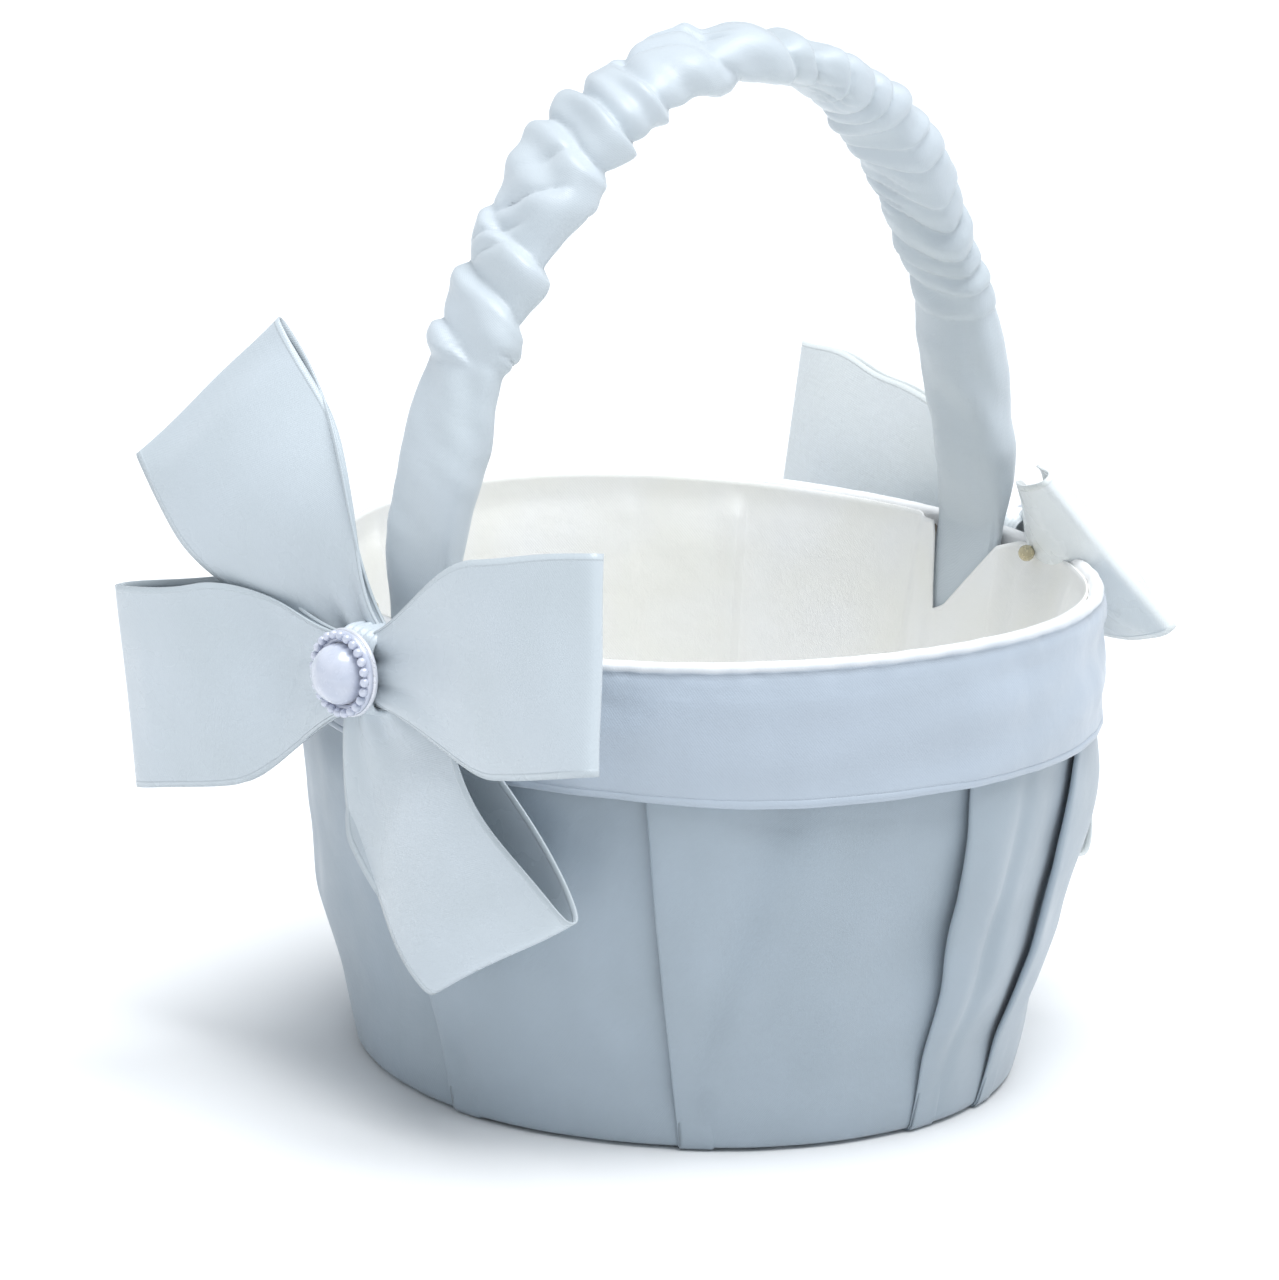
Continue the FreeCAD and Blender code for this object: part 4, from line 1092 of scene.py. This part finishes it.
def dress_inner_pieces():
    """Materials for the pieces that the cloth hides or half hides."""
    card = shared("card", lambda word: plain(
        word, colours().card, (0.36, 0.31, 0.25), 220, 0.05 * MM, 0.85))
    wire = shared("wire", lambda word: plain(
        word, (0.52, 0.52, 0.53), (0.38, 0.38, 0.40), 500, 0.01 * MM, 0.35, Metallic=1.0))
    strip = shared("strip", lambda word: plain(
        word, (0.80, 0.80, 0.77), (0.74, 0.74, 0.70), 120, 0.02 * MM, 0.5))
    glue = shared("hot_glue", lambda word: plain(
        word, (0.78, 0.70, 0.48), (0.66, 0.55, 0.32), 500, 0.05 * MM, 0.25,
        Coat_Weight=0.4, Coat_Roughness=0.15, Transmission_Weight=0.25))
    for node, material in (("base_board", card), ("wall_board", card), ("rim_wire", wire),
                           ("handle_core", strip), ("glue_dab_left", glue),
                           ("glue_dab_right", glue)):
        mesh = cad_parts[node].data
        mesh.materials.clear()
        mesh.materials.append(material)


# ---------------------------------------------------------------- stage

def build_stage():
    """Pale floor, a broad soft light nearly overhead, a faint cool sky and the camera."""
    extent = 6.0
    corners = np.linspace(-extent, extent, 3)
    x, y = np.meshgrid(corners, corners, indexing="xy")
    floor = surface("studio_floor", np.stack([x, y, 0 * x], axis=-1))
    made = Shading("studio_floor")
    tone = made.noise(made.place(), 3, 2)
    pale = colours().floor
    made.link(made.blend(made.ramp(tone, 0, 1), pale, tuple(0.985 * part for part in pale)),
              made.shader.inputs["Base Color"])
    made.set(Roughness=0.8, Specular_IOR_Level=0.2)
    floor.data.materials.append(made.material)

    light = bpy.data.lights.new("overhead_light", "SUN")
    light.energy = 3.1
    light.angle = math.radians(45)
    light.color = (0.97, 0.985, 1.0)
    lamp = bpy.data.objects.new("overhead_light", light)
    height, turn = math.radians(78), math.radians(280)
    from_light = Vector((math.cos(turn) * math.cos(height), math.sin(turn) * math.cos(height),
                         math.sin(height)))
    lamp.rotation_mode = "QUATERNION"
    lamp.rotation_quaternion = (-from_light).to_track_quat("-Z", "Y")
    bpy.context.scene.collection.objects.link(lamp)

    world = bpy.data.worlds.new("studio")
    world.use_nodes = True
    background = world.node_tree.nodes["Background"]
    background.inputs["Color"].default_value = (0.88, 0.94, 1.0, 1)
    background.inputs["Strength"].default_value = 0.58
    bpy.context.scene.world = world
    bpy.context.scene.view_settings.view_transform = "Standard"
    build_camera()


def build_camera():
    """A long lens, 43 degrees round to the left of square-on to the arch and 14 above, aimed a
    little below and left of the rim's middle and rolled two and a half degrees."""
    azimuth, elevation = math.radians(-43.0), math.radians(14.2)
    back = Vector((math.sin(azimuth) * math.cos(elevation),
                   -math.cos(azimuth) * math.cos(elevation), math.sin(elevation)))
    camera = bpy.data.objects.new("camera", bpy.data.cameras.new("camera"))
    camera.data.sensor_width = 36
    camera.data.lens = 187.2
    camera.rotation_mode = "QUATERNION"
    camera.rotation_quaternion = ((-back).to_track_quat("-Z", "Y")
                                  @ Quaternion((0, 0, 1), math.radians(2.56))
                                  @ Quaternion((0, 1, 0), math.radians(0.580))
                                  @ Quaternion((1, 0, 0), math.radians(-0.651)))
    camera.location = Vector((0, 0, RIM)) + back * 1.255
    bpy.context.scene.collection.objects.link(camera)
    bpy.context.scene.camera = camera


# ---------------------------------------------------------------- add-on

class Step:
    """What the operators share: each runs its own build, and uses nothing of the context."""

    def execute(self, _context):
        self.build()
        return {"FINISHED"}


class BASKET_OT_stage(Step, bpy.types.Operator):
    """Make the floor, the lights and the camera"""
    bl_idname = "basket.stage"
    bl_label = "Stage"
    build = staticmethod(build_stage)


class BASKET_OT_cover(Step, bpy.types.Operator):
    """Make the pleated cover"""
    bl_idname = "basket.cover"
    bl_label = "Pleated cover"
    build = staticmethod(build_cover)


class BASKET_OT_cuff(Step, bpy.types.Operator):
    """Make the cuff over the rim"""
    bl_idname = "basket.cuff"
    bl_label = "Cuff"
    build = staticmethod(build_cuff)


class BASKET_OT_lining(Step, bpy.types.Operator):
    """Make the lining"""
    bl_idname = "basket.lining"
    bl_label = "Lining"
    build = staticmethod(build_lining)


class BASKET_OT_floor(Step, bpy.types.Operator):
    """Make the padded floor and the cloth underneath"""
    bl_idname = "basket.floor"
    bl_label = "Floor"
    build = staticmethod(build_floor)


class BASKET_OT_handle(Step, bpy.types.Operator):
    """Make the ruched sleeve of the handle"""
    bl_idname = "basket.handle"
    bl_label = "Handle"
    build = staticmethod(build_sleeve)


class BASKET_OT_bows(Step, bpy.types.Operator):
    """Make the ribbons and knots of both bows"""
    bl_idname = "basket.bows"
    bl_label = "Bows"
    build = staticmethod(build_bows)


class BASKET_OT_brooches(Step, bpy.types.Operator):
    """Make both pearl brooches"""
    bl_idname = "basket.brooches"
    bl_label = "Brooches"
    build = staticmethod(build_brooches)


class BASKET_OT_inner(Step, bpy.types.Operator):
    """Give the card, wire, strip and glue their materials"""
    bl_idname = "basket.inner"
    bl_label = "Inner pieces"
    build = staticmethod(dress_inner_pieces)


STEPS = (BASKET_OT_stage, BASKET_OT_inner, BASKET_OT_floor, BASKET_OT_cover, BASKET_OT_cuff,
         BASKET_OT_lining, BASKET_OT_handle, BASKET_OT_bows, BASKET_OT_brooches)


class VIEW3D_PT_basket(bpy.types.Panel):
    """Lists the basket's sizes, colours and steps"""
    bl_label = "Flower Girl Basket"
    bl_space_type = "VIEW_3D"
    bl_region_type = "UI"
    bl_category = "Basket"

    def draw(self, context):
        for group in (context.scene.basket_sizes, context.scene.basket_colours):
            box = self.layout.box()
            for word in group.bl_rna.properties.keys():
                if word not in ("rna_type", "name"):
                    box.prop(group, word)
        for step in STEPS:
            self.layout.operator(step.bl_idname)


CLASSES = (BasketSizes, BasketColours, *STEPS, VIEW3D_PT_basket)


def register():
    for each in CLASSES:
        bpy.utils.register_class(each)
    bpy.types.Scene.basket_sizes = bpy.props.PointerProperty(type=BasketSizes)
    bpy.types.Scene.basket_colours = bpy.props.PointerProperty(type=BasketColours)


def unregister():
    del bpy.types.Scene.basket_colours
    del bpy.types.Scene.basket_sizes
    for each in reversed(CLASSES):
        bpy.utils.unregister_class(each)


def run_step(step):
    group, word = step.bl_idname.split(".")
    return getattr(getattr(bpy.ops, group), word)()


def main():
    """Builds everything in order."""
    register()
    for step in STEPS:
        run_step(step)
    bpy.context.view_layer.update()


if __name__ == "__main__":
    main()
